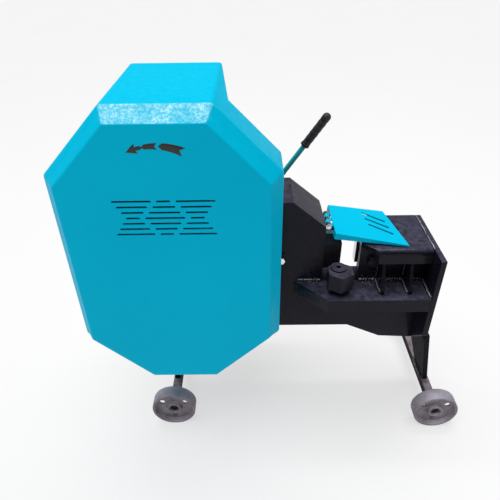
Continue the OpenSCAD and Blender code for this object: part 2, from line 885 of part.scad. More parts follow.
module flywheel() {
    r = flywheel_d / 2;
    color("#3b3d42")
        union() {
            difference() {
                grooved(input_axis, flywheel_ys[0], flywheel_ys[1], r, 2);
                bar_y(input_axis, flywheel_ys[0] - 1, flywheel_ys[0] + 20, 2 * r - 64);
                bar_y(input_axis, flywheel_ys[1] - 20, flywheel_ys[1] + 1, 2 * r - 64);
                bar_y(input_axis, flywheel_ys[0] - 1, flywheel_ys[1] + 1, 90);
                for (a = [0 : 60 : 300])
                    bar_y(input_axis + (r - 90) * [cos(a), sin(a)], flywheel_ys[0], flywheel_ys[1], 56);
            }
            difference() {
                ring_y(input_axis, hub_ys[0], hub_ys[1], 92, shaft_d);
                flywheel_key();
            }
        }
}

module input_shaft() {
    color("#9a9da3")
        union() {
            bar_y(input_axis, hub_ys[0] - 4, plane_1 - 5, shaft_d);
            bar_y(input_axis, plane_1 - 6, plane_1 + gear_w + 2, pinion_seat_d);
            hex_y(input_axis, hub_ys[0] - 16, hub_ys[0], 60);
            flywheel_key();
        }
}

pinion_seat_d = 34;
turn_1 = heading(input_axis, lay_axis);
turn_2 = heading(lay_axis, crank_axis);

module input_pinion() {
    color("#7e8086")
        spur(input_axis, plane_1 - 1, plane_1 + gear_w + 1, teeth_in, module_1, turn_1, pinion_seat_d);
}

lay_end_d = 30;
lay_cover_ys = [cover_y - 10, cover_y + 5];

// Bearings of the flywheel shaft and the layshaft
module shaft_bearings() {
    color("#8b8e94") {
        ring_y(input_axis, near_face_y - near_bearing_w, near_face_y, near_bearing_d, shaft_d + 2 * run_fit);
        ring_y(input_axis, far_in_y, far_face_y, far_bearing_d, shaft_d + 2 * run_fit);
        ring_y(lay_axis, far_in_y, far_face_y, lay_bearing_d, lay_end_d + 2 * run_fit);
        ring_y(lay_axis, lay_cover_ys[0], lay_cover_ys[1], lay_bearing_d, lay_end_d + 2 * run_fit);
    }
}

// Closed belt loop between two radii, as a plain outline
module belt_loop(r_top, r_low) {
    lean = asin((r_low - r_top) / drive_span);
    side = [cos(lean), sin(lean)];
    mirrored = [-cos(lean), sin(lean)];
    union() {
        translate(motor_axis)
            circle(r = r_top, $fn = 96);
        translate(input_axis)
            circle(r = r_low, $fn = 160);
        polygon([
            motor_axis + r_top * side, motor_axis + r_top * mirrored, input_axis + r_low * mirrored,
            input_axis + r_low * side]);
    }
}

module v_belts() {
    top = motor_pulley_d / 2;
    low = flywheel_d / 2;
    half = belt_h / 2;
    color("#1d1d1f")
        for (y = belt_ys) {
            slab(y - belt_w / 2, y + belt_w / 2)
                difference() {
                    belt_loop(top, low);
                    belt_loop(top - half, low - half);
                }
            slab(y - belt_w / 2 + 1.6, y + belt_w / 2 - 1.6)
                difference() {
                    belt_loop(top - half, low - half);
                    belt_loop(top - belt_h, low - belt_h);
                }
        }
}

module motor_pulley() {
    color("#3b3d42")
        grooved(motor_axis, -189, -144, motor_pulley_d / 2, motor_shaft_d);
}

// ---------- motor ----------

shield_t = 22;
motor_y0 = -82;
stator_y = motor_y0 + shield_t;
rear_shield_y = stator_y + stator_l;
fan_y = rear_shield_y + shield_t;
motor_end_y = fan_y + 62;

rotor_d = 96;
foot_drop = 100;
foot_t = 12;
foot_xs = [flywheel_x - 80, flywheel_x + 80];
foot_ys = [stator_y + 22, rear_shield_y - 22];
motor_bolts = [for (x = foot_xs) for (y = foot_ys) [x, y]];

module motor_rotor() {
    color("#9a9da3") {
        bar_y(motor_axis, -190, fan_y + 38, motor_shaft_d);
        bar_y(motor_axis, stator_y + 20, rear_shield_y - 20, rotor_d);
    }
}

// Cooling fan: hub, back disc and eight straight blades
module motor_fan() {
    color("#26282c")
        difference() {
            union() {
                bar_y(motor_axis, fan_y + 12, fan_y + 36, motor_shaft_d + 16);
                bar_y(motor_axis, fan_y + 12, fan_y + 16, motor_d - 30);
                for (a = [0 : 45 : 315])
                    translate([motor_axis[0], 0, motor_axis[1]])
                        rotate([0, a, 0])
                            box([motor_shaft_d / 2, fan_y + 15, -1.5], [motor_d / 2 - 18, fan_y + 34, 1.5]);
            }
            bar_y(motor_axis, fan_y + 11, fan_y + 37, motor_shaft_d);
        }
}

fin_h = 8;

// Finned stator housing with its two end shields and feet
module motor_housing() {
    core_d = motor_d - 2 * fin_h;
    color("#4d5a5e")
        difference() {
            union() {
                bar_y(motor_axis, stator_y, rear_shield_y, core_d);
                bar_y(motor_axis, motor_y0 + 6, stator_y + 2, motor_d - 4);
                bar_y(motor_axis, rear_shield_y - 2, fan_y - 4, motor_d - 4);
                bar_y(motor_axis, motor_y0, motor_y0 + 8, 96);
                for (a = [0 : 10 : 350])
                    translate([motor_axis[0], 0, motor_axis[1]])
                        rotate([0, a, 0])
                            box([core_d / 2 - 3, stator_y, -1.5], [motor_d / 2, rear_shield_y, 1.5]);
                for (x = foot_xs)
                    box([x - 24, stator_y + 10, motor_z - foot_drop],
                        [x + 24, rear_shield_y - 10, motor_z - foot_drop + foot_t]);
                for (side = [-1, 1])
                    box([flywheel_x + side * 59 - 9, stator_y + 12, motor_z - 92],
                        [flywheel_x + side * 59 + 9, rear_shield_y - 12, motor_z - 48]);
            }
            bar_y(motor_axis, stator_y + 6, rear_shield_y - 6, rotor_d + 2);
            bar_y(motor_axis, motor_y0 - 1, fan_y, motor_shaft_d + 2 * run_fit);
            for (p = motor_bolts)
                translate([p[0], p[1], motor_z - foot_drop - 1])
                    cylinder(h = foot_t + 2, d = bolt_d + 1);
        }
}

// Cowl over the fan, with a ring grille
module motor_fan_cover() {
    color("#3c474b")
        difference() {
            bar_y(motor_axis, fan_y - 3, motor_end_y, motor_d + 2);
            bar_y(motor_axis, fan_y - 4, motor_end_y - 2.5, motor_d - 3);
            for (r = [30 : 13 : 69])
                difference() {
                    bar_y(motor_axis, motor_end_y - 4, motor_end_y + 1, 2 * r + 7);
                    bar_y(motor_axis, motor_end_y - 5, motor_end_y + 2, 2 * r - 7);
                    for (a = [0, 60, 120])
                        translate([motor_axis[0], 0, motor_axis[1]])
                            rotate([0, a, 0])
                                box([-100, motor_end_y - 6, -2.5], [100, motor_end_y + 3, 2.5]);
                }
        }
}

gland_hole_d = 14;
box_x0 = flywheel_x - motor_d / 2 - 44;
box_x1 = flywheel_x - motor_d / 2 + 6;
gland_at = [box_x0 + 22, 40];
box_low_z = motor_z - 6;

// Terminal box on the motor's left side, with its lid
module terminal_box() {
    color("#4d5a5e")
        difference() {
            union() {
                box([box_x0, -10, box_low_z], [box_x1, 90, box_low_z + 80]);
                box([box_x0 - 3, -13, box_low_z - 3], [box_x0 + 3, 93, box_low_z + 83]);
            }
            bar_y(motor_axis, -20, 100, motor_d);
            box([box_x0 + 3, -5, box_low_z + 5], [box_x1 - 12, 85, box_low_z + 75]);
            translate([gland_at[0], gland_at[1], box_low_z - 1])
                cylinder(h = 7, d = 20);
        }
}

// Cable gland under the terminal box, the power cable's inlet
module cable_gland() {
    color("#2b2d30")
        difference() {
            union() {
                translate([gland_at[0], gland_at[1], box_low_z - 9])
                    cylinder(h = 9, d = 30, $fn = 6);
                translate([gland_at[0], gland_at[1], box_low_z - 24])
                    cylinder(h = 16, d = 24);
                translate([gland_at[0], gland_at[1], box_low_z - 1])
                    cylinder(h = 10, d = 20);
            }
            translate([gland_at[0], gland_at[1], box_low_z - 25])
                cylinder(h = 36, d = gland_hole_d);
        }
}

// Motor rails on a plate over the body
module motor_base() {
    rail_top = motor_z - foot_drop;
    plate_top = body_top_z + 12;
    color("#17161d")
        difference() {
            union() {
                box([flywheel_x - 105, near_face_y, body_top_z], [flywheel_x + 105, 140, plate_top]);
                for (x = foot_xs)
                    box([x - 24, near_face_y + 20, plate_top], [x + 24, 130, rail_top]);
            }
            for (p = motor_bolts)
                translate([p[0], p[1], rail_top - 10])
                    cylinder(h = 11, d = bolt_d);
        }
}

// ---------- gears ----------

lay_gear_turn = turn_1 + 180 + 180 / teeth_lay;
bull_turn = turn_2 + 180 + 180 / teeth_bull;
lay_body_d = 40;

// Layshaft cut from one bar with its output pinion
module layshaft() {
    color("#7e8086")
        union() {
            bar_y(lay_axis, far_in_y + 1, case_back_y + 5, lay_end_d);
            bar_y(lay_axis, case_back_y + 4, lay_cover_ys[0] - 2, lay_body_d);
            bar_y(lay_axis, lay_cover_ys[0] - 3, lay_cover_ys[1] - 1, lay_end_d);
            spur(lay_axis, plane_2 - 2, plane_2 + bull_w - 2, teeth_out, module_2, turn_2, 10);
        }
}

module layshaft_gear() {
    color("#85878d")
        difference() {
            spur(lay_axis, plane_1, plane_1 + gear_w, teeth_lay, module_1, lay_gear_turn, lay_body_d);
            for (side = [-1, 1])
                ring_y(lay_axis, plane_1 + gear_w / 2 + side * (gear_w / 2 - 4) - 5,
                    plane_1 + gear_w / 2 + side * (gear_w / 2 - 4) + 5, 160, 76);
        }
}

jaw_angle = 50;

// Two clutch jaws: sectors of a ring between y0 and y1
module clutch_jaws(y0, y1, turn, outer_r, inner_r) {
    for (a = [turn, turn + 180])
        intersection() {
            ring_y(crank_axis, y0, y1, 2 * outer_r, 2 * inner_r);
            translate([crank_x, 0, ram_z])
                rotate([0, a, 0])
                    slab(y0, y1)
                        polygon([
                            [0, 0], 80 * [cos(jaw_angle / 2), -sin(jaw_angle / 2)],
                            80 * [cos(jaw_angle / 2), sin(jaw_angle / 2)]]);
        }
}

bull_bush_d = bull_seat_d + 10;

module bull_gear() {
    color("#85878d")
        difference() {
            union() {
                spur(crank_axis, plane_2, plane_2 + bull_w - 6, teeth_bull, module_2, bull_turn, bull_bush_d);
                ring_y(crank_axis, plane_2 - 3, clutch_y, 88, bull_bush_d);
                clutch_jaws(clutch_y - 2, clutch_y + jaw_h, 0, 41, 31);
            }
            for (a = [30 : 60 : 330])
                bar_y(crank_axis + 70 * [cos(a), sin(a)], plane_2 - 5, clutch_y + 5, 34);
        }
}

module bull_gear_bush() {
    color("#a8793a")
        ring_y(crank_axis, plane_2 - 3, clutch_y, bull_bush_d, bull_seat_d + 2 * run_fit);
}

// Sliding half of the dog clutch, with its keyways and fork groove
module clutch_sleeve() {
    color("#7e8086")
        difference() {
            union() {
                bar_y(crank_axis, sleeve_y, sleeve_y + sleeve_l, sleeve_d);
                clutch_jaws(sleeve_y - jaw_h, sleeve_y + 2, 90, 41, 31);
            }
            bar_y(crank_axis, sleeve_y - 1, sleeve_y + sleeve_l + 1, spline_d + 2 * run_fit);
            ring_y(crank_axis, fork_y - groove_w / 2, fork_y + groove_w / 2, sleeve_d + 2, groove_d);
            box([crank_x - key_w / 2 - 0.2, sleeve_y - 1, ram_z - spline_d / 2 - 3.5],
                [crank_x + key_w / 2 + 0.2, sleeve_y + sleeve_l + 1, ram_z + spline_d / 2 + 3.5]);
        }
}

// Fork with a hub on the lever shaft and two pins in the sleeve's groove
module shift_fork() {
    ring_in = sleeve_d / 2 + 4;
    ring_out = ring_in + 12;
    color("#4a4b50")
        difference() {
            union() {
                intersection() {
                    ring_y(crank_axis, fork_y - 4, fork_y + 4, 2 * ring_out, 2 * ring_in);
                    box([crank_x - 6, fork_y - 5, ram_z - 80], [crank_x + 80, fork_y + 5, ram_z + 80]);
                }
                translate([lever_x, fork_y, ram_z - 20])
                    cylinder(h = 40, d = 27);
                for (low = [ram_z - ring_out + 3, ram_z + groove_d / 2 + 1.5])
                    translate([crank_x, fork_y, low])
                        cylinder(h = ring_out - 3 - groove_d / 2 - 1.5, d = 8);
            }
            translate([lever_x, fork_y, ram_z - 40])
                cylinder(h = 80, d = lever_shaft_d);
        }
}

lever_foot_z = ram_z - 62;
bend_drop = 21;
bend = [lever_x + 70 - bend_drop * tan(lever_lean), fork_y, lever_z - bend_drop];
arm_tilt = atan2(bend_drop, bend[0] - lever_x);
rod_up = 70 + bend_drop / cos(lever_lean);
grip_top = rod_up + grip_l - 6;

// Round bar from a point along a direction in the XZ plane
module leaning_bar(start, from, to, d) {
    translate(start)
        rotate([0, lever_lean, 0])
            translate([0, 0, from])
                cylinder(h = to - from, d = d);
}

module clutch_lever() {
    color("#0fa3b8")
        union() {
            translate([lever_x, fork_y, lever_foot_z])
                cylinder(h = lever_z + 10 - lever_foot_z, d = lever_shaft_d);
            translate([lever_x, fork_y, lever_z - 14])
                cylinder(h = 28, d = 34);
            translate([lever_x, fork_y, lever_z])
                rotate([0, 90 + arm_tilt, 0])
                    cylinder(h = (bend[0] - lever_x) / cos(arm_tilt), d = lever_rod_d);
            translate(bend)
                sphere(d = lever_rod_d + 2);
            leaning_bar(bend, 0, grip_top, lever_rod_d);
        }
}

// Rubber grip with finger waves, closed at its end
module lever_grip() {
    waves = 5;
    pitch = (grip_l - 16) / waves;
    color("#1a1a1c")
        translate(bend)
            rotate([0, lever_lean, 0])
                translate([0, 0, rod_up])
                    difference() {
                        union() {
                            cylinder(h = 8, d = grip_d + 2);
                            translate([0, 0, 4])
                                cylinder(h = grip_l - 4 - grip_d / 2, d = grip_d - 2.4);
                            for (i = [0 : waves - 1])
                                translate([0, 0, 8 + pitch * (i + 0.2)])
                                    cylinder(h = pitch * 0.6, d = grip_d);
                            translate([0, 0, grip_l - grip_d / 2])
                                sphere(d = grip_d);
                        }
                        translate([0, 0, -1])
                            cylinder(h = grip_l - 5, d = lever_rod_d);
                    }
}

// ---------- gear case ----------

// Case outline, drawn in by d
module case_outline(d) {
    k = d * tan(22.5);
    polygon([
        [case_left_x + d, case_low_z + 90 - k], [case_left_x + 70 + k, case_low_z + d],
        [case_right_x - 90 - k, case_low_z + d], [case_right_x - d, case_low_z + 90 - k],
        [case_right_x - d, case_top_z - 70 + k], [case_right_x - 70 + k, case_top_z - d],
        [case_left_x + 110 - k, case_top_z - d], [case_left_x + d, case_top_z - 110 + k]]);
}

module gear_case() {
    color("#1b1a21")
        difference() {
            union() {
                slab(case_back_y, cover_y)
                    case_outline(0);
                translate([lever_x, fork_y, case_top_z - 4])
                    cylinder(h = 4.6, d = 34);
            }
            slab(case_back_y + case_wall, cover_y + 1)
                difference() {
                    case_outline(case_wall);
                    for (p = case_bolts)
                        translate(p)
                            circle(d = 22);
                }
            for (p = case_bolts)
                bar_y(p, cover_y - 8, cover_y + 1, bolt_d);
            bar_y(crank_axis, case_back_y - 1, case_back_y + case_wall + 1, journal_d + 6);
            bar_y(input_axis, case_back_y - 1, case_back_y + case_wall + 1, shaft_d + 6);
            bar_y(lay_axis, case_back_y - 1, case_back_y + case_wall + 1, lay_body_d + 6);
            translate([lever_x, fork_y, case_top_z - 20])
                cylinder(h = 40, d = lever_shaft_d + 2 * run_fit);
        }
}

// Bolts on the middle of the case's wall, set in from its corners
case_bolts = [
    [case_left_x + 12, case_low_z + 110], [case_left_x + 12, case_top_z - 130],
    [case_left_x + 125, case_top_z - 12], [case_right_x - 90, case_top_z - 12],
    [case_right_x - 12, case_top_z - 90], [case_right_x - 12, case_low_z + 110],
    [case_right_x - 105, case_low_z + 12], [case_left_x + 85, case_low_z + 12]];

// Flat cover with bearing bosses and the bracket that carries the lever shaft's foot
module gear_case_cover() {
    color("#1b1a21")
        difference() {
            union() {
                slab(cover_y, cover_y + cover_t)
                    case_outline(0);
                bar_y(lay_axis, lay_cover_ys[0], cover_y + 1, lay_bearing_d + 22);
                bar_y(crank_axis, outboard_ys[0], cover_y + 1, outboard_bush_d + 16);
                box([lever_x - 14, fork_y - 14, lever_foot_z - 16], [lever_x + 14, cover_y + 1, lever_foot_z + 4]);
            }
            bar_y(lay_axis, lay_cover_ys[0] - 1, lay_cover_ys[1], lay_bearing_d);
            bar_y(crank_axis, outboard_ys[0] - 1, outboard_ys[1], outboard_bush_d);
            for (p = case_bolts)
                bar_y(p, cover_y - 1, cover_y + cover_t + 1, bolt_d);
            translate([lever_x, fork_y, lever_foot_z - 0.5])
                cylinder(h = 20, d = lever_shaft_d + 2 * run_fit);
        }
}

// ---------- guard ----------

side_turn_top = atan2(face_half_w - face_top_half, face_top_z - face_side_top_z);
side_turn_low = atan2(face_half_w - face_low_half, face_side_low_z - face_low_z);

// Guard outline grown outwards by d, each corner moved along its mitre
function guard_points(d) = [
    [face_low_half + d * tan(45 - side_turn_low / 2), face_low_z - d],
    [face_half_w + d, face_side_low_z - d * tan(side_turn_low / 2)],
    [face_half_w + d, face_side_top_z + d * tan(side_turn_top / 2)],
    [face_top_half + d * tan(45 - side_turn_top / 2), face_top_z + d],
    [-face_top_half - d * tan(45 - side_turn_top / 2), face_top_z + d],
    [-face_half_w - d, face_side_top_z + d * tan(side_turn_top / 2)],
    [-face_half_w - d, face_side_low_z - d * tan(side_turn_low / 2)],
    [-face_low_half - d * tan(45 - side_turn_low / 2), face_low_z - d]];

module guard_outline(d) {
    translate([flywheel_x, 0])
        polygon(guard_points(d));
}

// Face, bevel and side walls as one solid, drawn in by t
module guard_form(t) {
    skin = 0.02;
    hull() {
        slab(guard_face_y + t, guard_face_y + t + skin)
            guard_outline(-0.55 * t);
        slab(guard_face_y + bevel_deep, guard_face_y + bevel_deep + skin)
            guard_outline(bevel_out - t);
    }
    slab(guard_face_y + bevel_deep, guard_back_y + (t > 0 ? 1 : 0))
        guard_outline(bevel_out - t);
}

slot_pitch = 12.6;
slot_top_z = 801;
slot_h = 4;
hood_drop = 24;

// Hood that carries the top wall back over the motor
module hood() {
    intersection() {
        slab(guard_back_y - 1, hood_back_y)
            difference() {
                guard_outline(bevel_out);
                guard_outline(bevel_out - sheet_t);
            }
        box([flywheel_x - 200, guard_back_y - 2, face_top_z + bevel_out - hood_drop],
            [flywheel_x + 200, hood_back_y + 1, face_top_z + bevel_out + 1]);
    }
}

module guard_cover() {
    color("#0b9fb8") {
        difference() {
            guard_form(0);
            guard_form(sheet_t);
            for (i = [0 : 6]) {
                spread = abs(i - 3);
                inner = 40.5 - 8.7 * spread;
                outer = 79 + 7.5 * spread;
                z = slot_top_z - slot_pitch * i;
                for (span = [[-inner, inner], [-outer, -inner - 10], [inner + 10, outer]])
                    box([flywheel_x + span[0], guard_face_y - 1, z - slot_h / 2],
                        [flywheel_x + span[1], guard_face_y + sheet_t + 1, z + slot_h / 2]);
            }
        }
        hood();
    }
}

stay_w = 30;
stay_t = 5;
guard_left_in = flywheel_x - face_half_w - bevel_out + sheet_t;
guard_right_in = flywheel_x + face_half_w + bevel_out - sheet_t;
guard_low_in = face_low_z - bevel_out + sheet_t;
left_stay_zs = [435, 600];
right_stay_z = 555;
stay_bolts = [
    [body_left_x + 13, left_stay_zs[0]], [body_left_x + 13, left_stay_zs[1]],
    [guard_right_in + 10, right_stay_z], [flywheel_x, body_low_z + 15]];

// Angle stay on the near plate: from xa to xb, with its foot along the guard wall at xa
module side_stay(xa, xb, z) {
    box([xa, near_face_y - stay_t, z - stay_w / 2], [xb, near_face_y, z + stay_w / 2]);
    box([xa, guard_back_y - 30, z - stay_w / 2], [xa + stay_t, near_face_y, z + stay_w / 2]);
}

// What carries the guard: four bent stays from the near side plate to its walls and bottom, and its back sheet
module guard_stays() {
    back_sheet();
    bent_stays();
}

module bent_stays() {
    color("#17161d")
        difference() {
            union() {
                for (z = left_stay_zs)
                    side_stay(guard_left_in, body_left_x + 26, z);
                box([guard_right_in - stay_t, near_face_y - stay_t, right_stay_z - stay_w / 2],
                    [guard_right_in + 20, near_face_y, right_stay_z + stay_w / 2]);
                box([guard_right_in - stay_t, guard_back_y - 30, right_stay_z - stay_w / 2],
                    [guard_right_in, near_face_y, right_stay_z + stay_w / 2]);
                box([flywheel_x - stay_w / 2, near_face_y - stay_t, guard_low_in],
                    [flywheel_x + stay_w / 2, near_face_y, body_low_z + 30]);
                box([flywheel_x - stay_w / 2, guard_back_y - 30, guard_low_in],
                    [flywheel_x + stay_w / 2, near_face_y, guard_low_in + stay_t]);
            }
            for (p = stay_bolts)
                bar_y(p, near_face_y - stay_t - 1, near_face_y + 1, bolt_d);
        }
}

guard_back_top_z = 735;

// Sheet that closes the guard behind the flywheel, notched round the stays and the bearing boss
module back_sheet() {
    front = guard_back_y - 5;
    rear = front + sheet_t;
    gap = 1;
    color("#17161d")
        difference() {
            intersection() {
                slab(front, rear)
                    guard_outline(bevel_out - sheet_t);
                box([guard_left_in, front - gap, guard_low_in], [guard_right_in, rear + gap, guard_back_top_z]);
            }
            bar_y(input_axis, front - gap, rear + gap, near_bearing_d + 46);
            for (z = left_stay_zs)
                box([guard_left_in - gap, front - gap, z - stay_w / 2 - gap],
                    [guard_left_in + stay_t + gap, rear + gap, z + stay_w / 2 + gap]);
            box([guard_right_in - stay_t - gap, front - gap, right_stay_z - stay_w / 2 - gap],
                [guard_right_in + gap, rear + gap, right_stay_z + stay_w / 2 + gap]);
            box([flywheel_x - stay_w / 2 - gap, front - gap, guard_low_in - gap],
                [flywheel_x + stay_w / 2 + gap, rear + gap, guard_low_in + stay_t + gap]);
        }
}

// ---------- safety cover ----------

cover_t2 = 3;
cover_x0 = 13;
knuckle_d = 14;
pin_d = 8;
knuckle_l = 13;
knuckle_gap = 0.5;
hinge_y0 = -62;

// Sheet cover over the throat: drawn flat from the hinge pin, then tipped down
module safety_cover() {
    far_y = far_face_y + 12;
    tip_y = near_face_y - 20;
    slot_w = 7;
    flange_l = 17;
    color("#10c4dc")
        translate([hinge_x, 0, hinge_z])
            rotate([0, cover_slope, 0])
                union() {
                    difference() {
                        translate([0, 0, -cover_t2])
                            linear_extrude(cover_t2)
                                polygon([
                                    [cover_x0, near_face_y + 3], [cover_l, tip_y],
                                    [cover_l - 29, far_y - 6], [cover_x0, far_y]]);
                        for (i = [0 : 2])
                            translate([98 + 4 * i, 26 - 28.5 * i, -10])
                                rotate([0, 0, -33])
                                    translate([0, -slot_w / 2, 0])
                                        cube([66, slot_w, 20]);
                    }
                    // Turned-down flange on the table side, shallower towards its tip
                    difference() {
                        translate([0, 0, -flange_l])
                            linear_extrude(flange_l - cover_t2)
                                polygon([
                                    [cover_x0, near_face_y + 3], [cover_l, tip_y],
                                    [cover_l, tip_y + cover_t2], [cover_x0, near_face_y + 3 + cover_t2]]);
                        translate([cover_x0 - 5, -half_width, -flange_l])
                            rotate([0, -4.3, 0])
                                translate([0, 0, -60])
                                    cube([260, half_width, 60]);
                    }
                    for (span = [[near_face_y + 4, hinge_y0 - 2], [10, far_y]])
                        box([cover_x0, span[0], -flange_l], [cover_x0 + cover_t2, span[1], -cover_t2]);
                    for (i = [1, 3]) {
                        y0 = hinge_y0 + i * (knuckle_l + knuckle_gap);
                        difference() {
                            union() {
                                bar_y([0, 0], y0, y0 + knuckle_l, knuckle_d);
                                box([0, y0, -cover_t2 - 3], [36, y0 + knuckle_l, -cover_t2]);
                            }
                            bar_y([0, 0], y0 - 1, y0 + knuckle_l + 1, pin_d + 2 * run_fit);
                        }
                    }
                }
}

// Fixed leaf, its knuckles and the hinge pin
module cover_hinge() {
    color("#b9bcc2")
        difference() {
            union() {
                box([head_front_x, hinge_y0, hinge_z - 30], [head_front_x + 4, hinge_y0 + 67, hinge_z + 2]);
                for (i = [0, 2, 4]) {
                    y0 = hinge_y0 + i * (knuckle_l + knuckle_gap);
                    bar_y([hinge_x, hinge_z], y0, y0 + knuckle_l, knuckle_d);
                    box([head_front_x, y0, hinge_z - 6], [hinge_x, y0 + knuckle_l, hinge_z - 1]);
                }
            }
            for (i = [1, 3])
                bar_y([hinge_x, hinge_z], hinge_y0 + i * (knuckle_l + knuckle_gap) - knuckle_gap,
                    hinge_y0 + (i + 1) * (knuckle_l + knuckle_gap), knuckle_d + 1);
            bar_y([hinge_x, hinge_z], hinge_y0 - 4, hinge_y0 + 71, pin_d + 2 * run_fit);
        }
    color("#d5d7da")
        bar_y([hinge_x, hinge_z], hinge_y0 - 3, hinge_y0 + 70, pin_d);
}

// ---------- stop block ----------

stop_stud_d = 20;
stop_shift = [4, -10];
stop_top_z = stop_low_z + stop_h;

// Six-sided stop, off-centre on its stud, so that each side stands at another distance
module stop_block() {
    color("#222129")
        difference() {
            union() {
                translate([stop_x + stop_shift[0], stop_y + stop_shift[1], stop_low_z])
                    rotate([0, 0, 30])
                        cylinder(h = stop_h, d = stop_corner_d, $fn = 6);
                translate([stop_x, stop_y, stop_top_z - 1])
                    cylinder(h = 5, d = 38);
                translate([stop_x, stop_y, table_z + pass_fit])
                    cylinder(h = stop_low_z - table_z, d = 34);
            }
            translate([stop_x, stop_y, table_z - 1])
                cylinder(h = stop_h + stop_low_z - table_z - 8, d = stop_stud_d + 2 * run_fit);
            translate([stop_x, stop_y, stop_top_z - 3])
                cylinder(h = 8, d = 12);
        }
}

near_side_plate();
far_side_plate();
roof_plate();
belly_plate();
ram_guide();
ram_liners();
jaw_block();
jaw_cap();
table_ribs();
end_plate();
work_table();
front_leg();
rear_leg();
front_axle();
rear_axle();
wheel_front_near();
wheel_front_far();
wheel_rear_near();
wheel_rear_far();
wheel_fixings();
hex_bolts();
crank_bushes();
crankshaft();
shaft_ring();
conrod();
conrod_bush();
wrist_pin();
ram();
moving_blade();
moving_blade_bolt();
fixed_blade();
fixed_blade_bolt();
flywheel();
input_shaft();
input_pinion();
shaft_bearings();
v_belts();
motor_pulley();
motor_rotor();
motor_fan();
motor_housing();
motor_fan_cover();
terminal_box();
cable_gland();
motor_base();
layshaft();
layshaft_gear();
bull_gear();
bull_gear_bush();
clutch_sleeve();
shift_fork();
clutch_lever();
lever_grip();
gear_case();
gear_case_cover();
guard_cover();
guard_stays();
safety_cover();
cover_hinge();
stop_block();
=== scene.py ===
import json
import math

import bmesh
import bpy
import numpy as np
from mathutils import Matrix, Vector


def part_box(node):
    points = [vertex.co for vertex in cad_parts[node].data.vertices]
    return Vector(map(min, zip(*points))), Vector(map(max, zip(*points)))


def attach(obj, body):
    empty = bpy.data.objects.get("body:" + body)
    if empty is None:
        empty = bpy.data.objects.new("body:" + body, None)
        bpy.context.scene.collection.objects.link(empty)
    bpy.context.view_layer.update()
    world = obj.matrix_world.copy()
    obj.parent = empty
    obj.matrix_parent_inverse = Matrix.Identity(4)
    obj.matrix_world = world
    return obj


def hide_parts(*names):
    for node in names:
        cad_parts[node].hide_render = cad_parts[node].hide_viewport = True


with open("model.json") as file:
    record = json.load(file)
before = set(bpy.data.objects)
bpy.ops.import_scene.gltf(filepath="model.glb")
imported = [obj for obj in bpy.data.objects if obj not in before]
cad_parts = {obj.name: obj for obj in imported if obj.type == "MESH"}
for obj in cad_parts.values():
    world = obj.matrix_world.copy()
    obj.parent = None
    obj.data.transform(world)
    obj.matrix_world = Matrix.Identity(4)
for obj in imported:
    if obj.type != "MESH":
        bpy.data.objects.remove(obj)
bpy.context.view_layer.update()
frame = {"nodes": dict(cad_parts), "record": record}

NODES = frame["nodes"]
MM = 0.001

# Heights and faces that the pieces share, read from the machine's own nodes
TABLE_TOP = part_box("table_ribs")[0][2]
NEAR_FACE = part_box("guard_stays")[1][1]
FAR_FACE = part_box("far_side_plate")[1][1]
TABLE_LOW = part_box("work_table")[0]
END_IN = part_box("end_plate")[0][0]
CAP_LOW, CAP_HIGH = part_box("jaw_cap")
RIB_LOW, RIB_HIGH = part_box("table_ribs")
GUARD_LOW, GUARD_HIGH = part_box("guard_cover")
GUARD_X = (GUARD_LOW[0] + GUARD_HIGH[0]) / 2


# ---------- camera ----------

def place_camera():
    """Looks 34.6 degrees down from 1.25 m high and 1.06 m in front of the middle, rolled by 0.8 degrees."""
    pitch, yaw, roll = math.radians(34.6), math.radians(-0.36), math.radians(-0.80)
    forward = Vector((math.sin(yaw) * math.cos(pitch), math.cos(yaw) * math.cos(pitch), -math.sin(pitch)))
    right = Vector((math.cos(yaw), -math.sin(yaw), 0.0))
    up = right.cross(forward)
    right_rolled = math.cos(roll) * right + math.sin(roll) * up
    up_rolled = -math.sin(roll) * right + math.cos(roll) * up
    data = bpy.data.cameras.new("front_camera")
    data.sensor_width = 36.0
    data.lens = 34.344
    data.clip_end = 100.0
    camera = bpy.data.objects.new("front_camera", data)
    turn = Matrix((right_rolled, up_rolled, -forward)).transposed().to_4x4()
    camera.matrix_world = Matrix.Translation((-0.091, -1.060, 1.25)) @ turn
    bpy.context.scene.collection.objects.link(camera)
    bpy.context.scene.camera = camera


# ---------- surfaces ----------

def new_piece(name, vertices, faces, body, material, smooth=40.0):
    """A mesh object at the origin, faces outwards, smooth up to the given angle, riding on its body."""
    mesh = bpy.data.meshes.new(name)
    mesh.from_pydata(np.asarray(vertices, float).reshape(-1, 3).tolist(), [], faces)
    shape = bmesh.new()
    shape.from_mesh(mesh)
    bmesh.ops.remove_doubles(shape, verts=shape.verts, dist=1e-6)
    bmesh.ops.recalc_face_normals(shape, faces=shape.faces)
    shape.to_mesh(mesh)
    shape.free()
    mesh.polygons.foreach_set("use_smooth", np.ones(len(mesh.polygons), bool))
    mesh.set_sharp_from_angle(angle=math.radians(smooth))
    mesh.materials.append(material)
    piece = bpy.data.objects.new(name, mesh)
    bpy.context.scene.collection.objects.link(piece)
    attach(piece, body)
    return piece


def ring_faces(rings, around, start=0):
    """Quads between each ring and the next, and one many-sided face over the first and the last ring."""
    i, j = np.meshgrid(np.arange(rings - 1), np.arange(around), indexing="ij")
    k = (j + 1) % around
    quads = np.stack([i * around + j, i * around + k, (i + 1) * around + k, (i + 1) * around + j], -1)
    quads = (quads.reshape(-1, 4) + start).tolist()
    first = (np.arange(around)[::-1] + start).tolist()
    last = (np.arange(around) + (rings - 1) * around + start).tolist()
    return quads + [first, last]


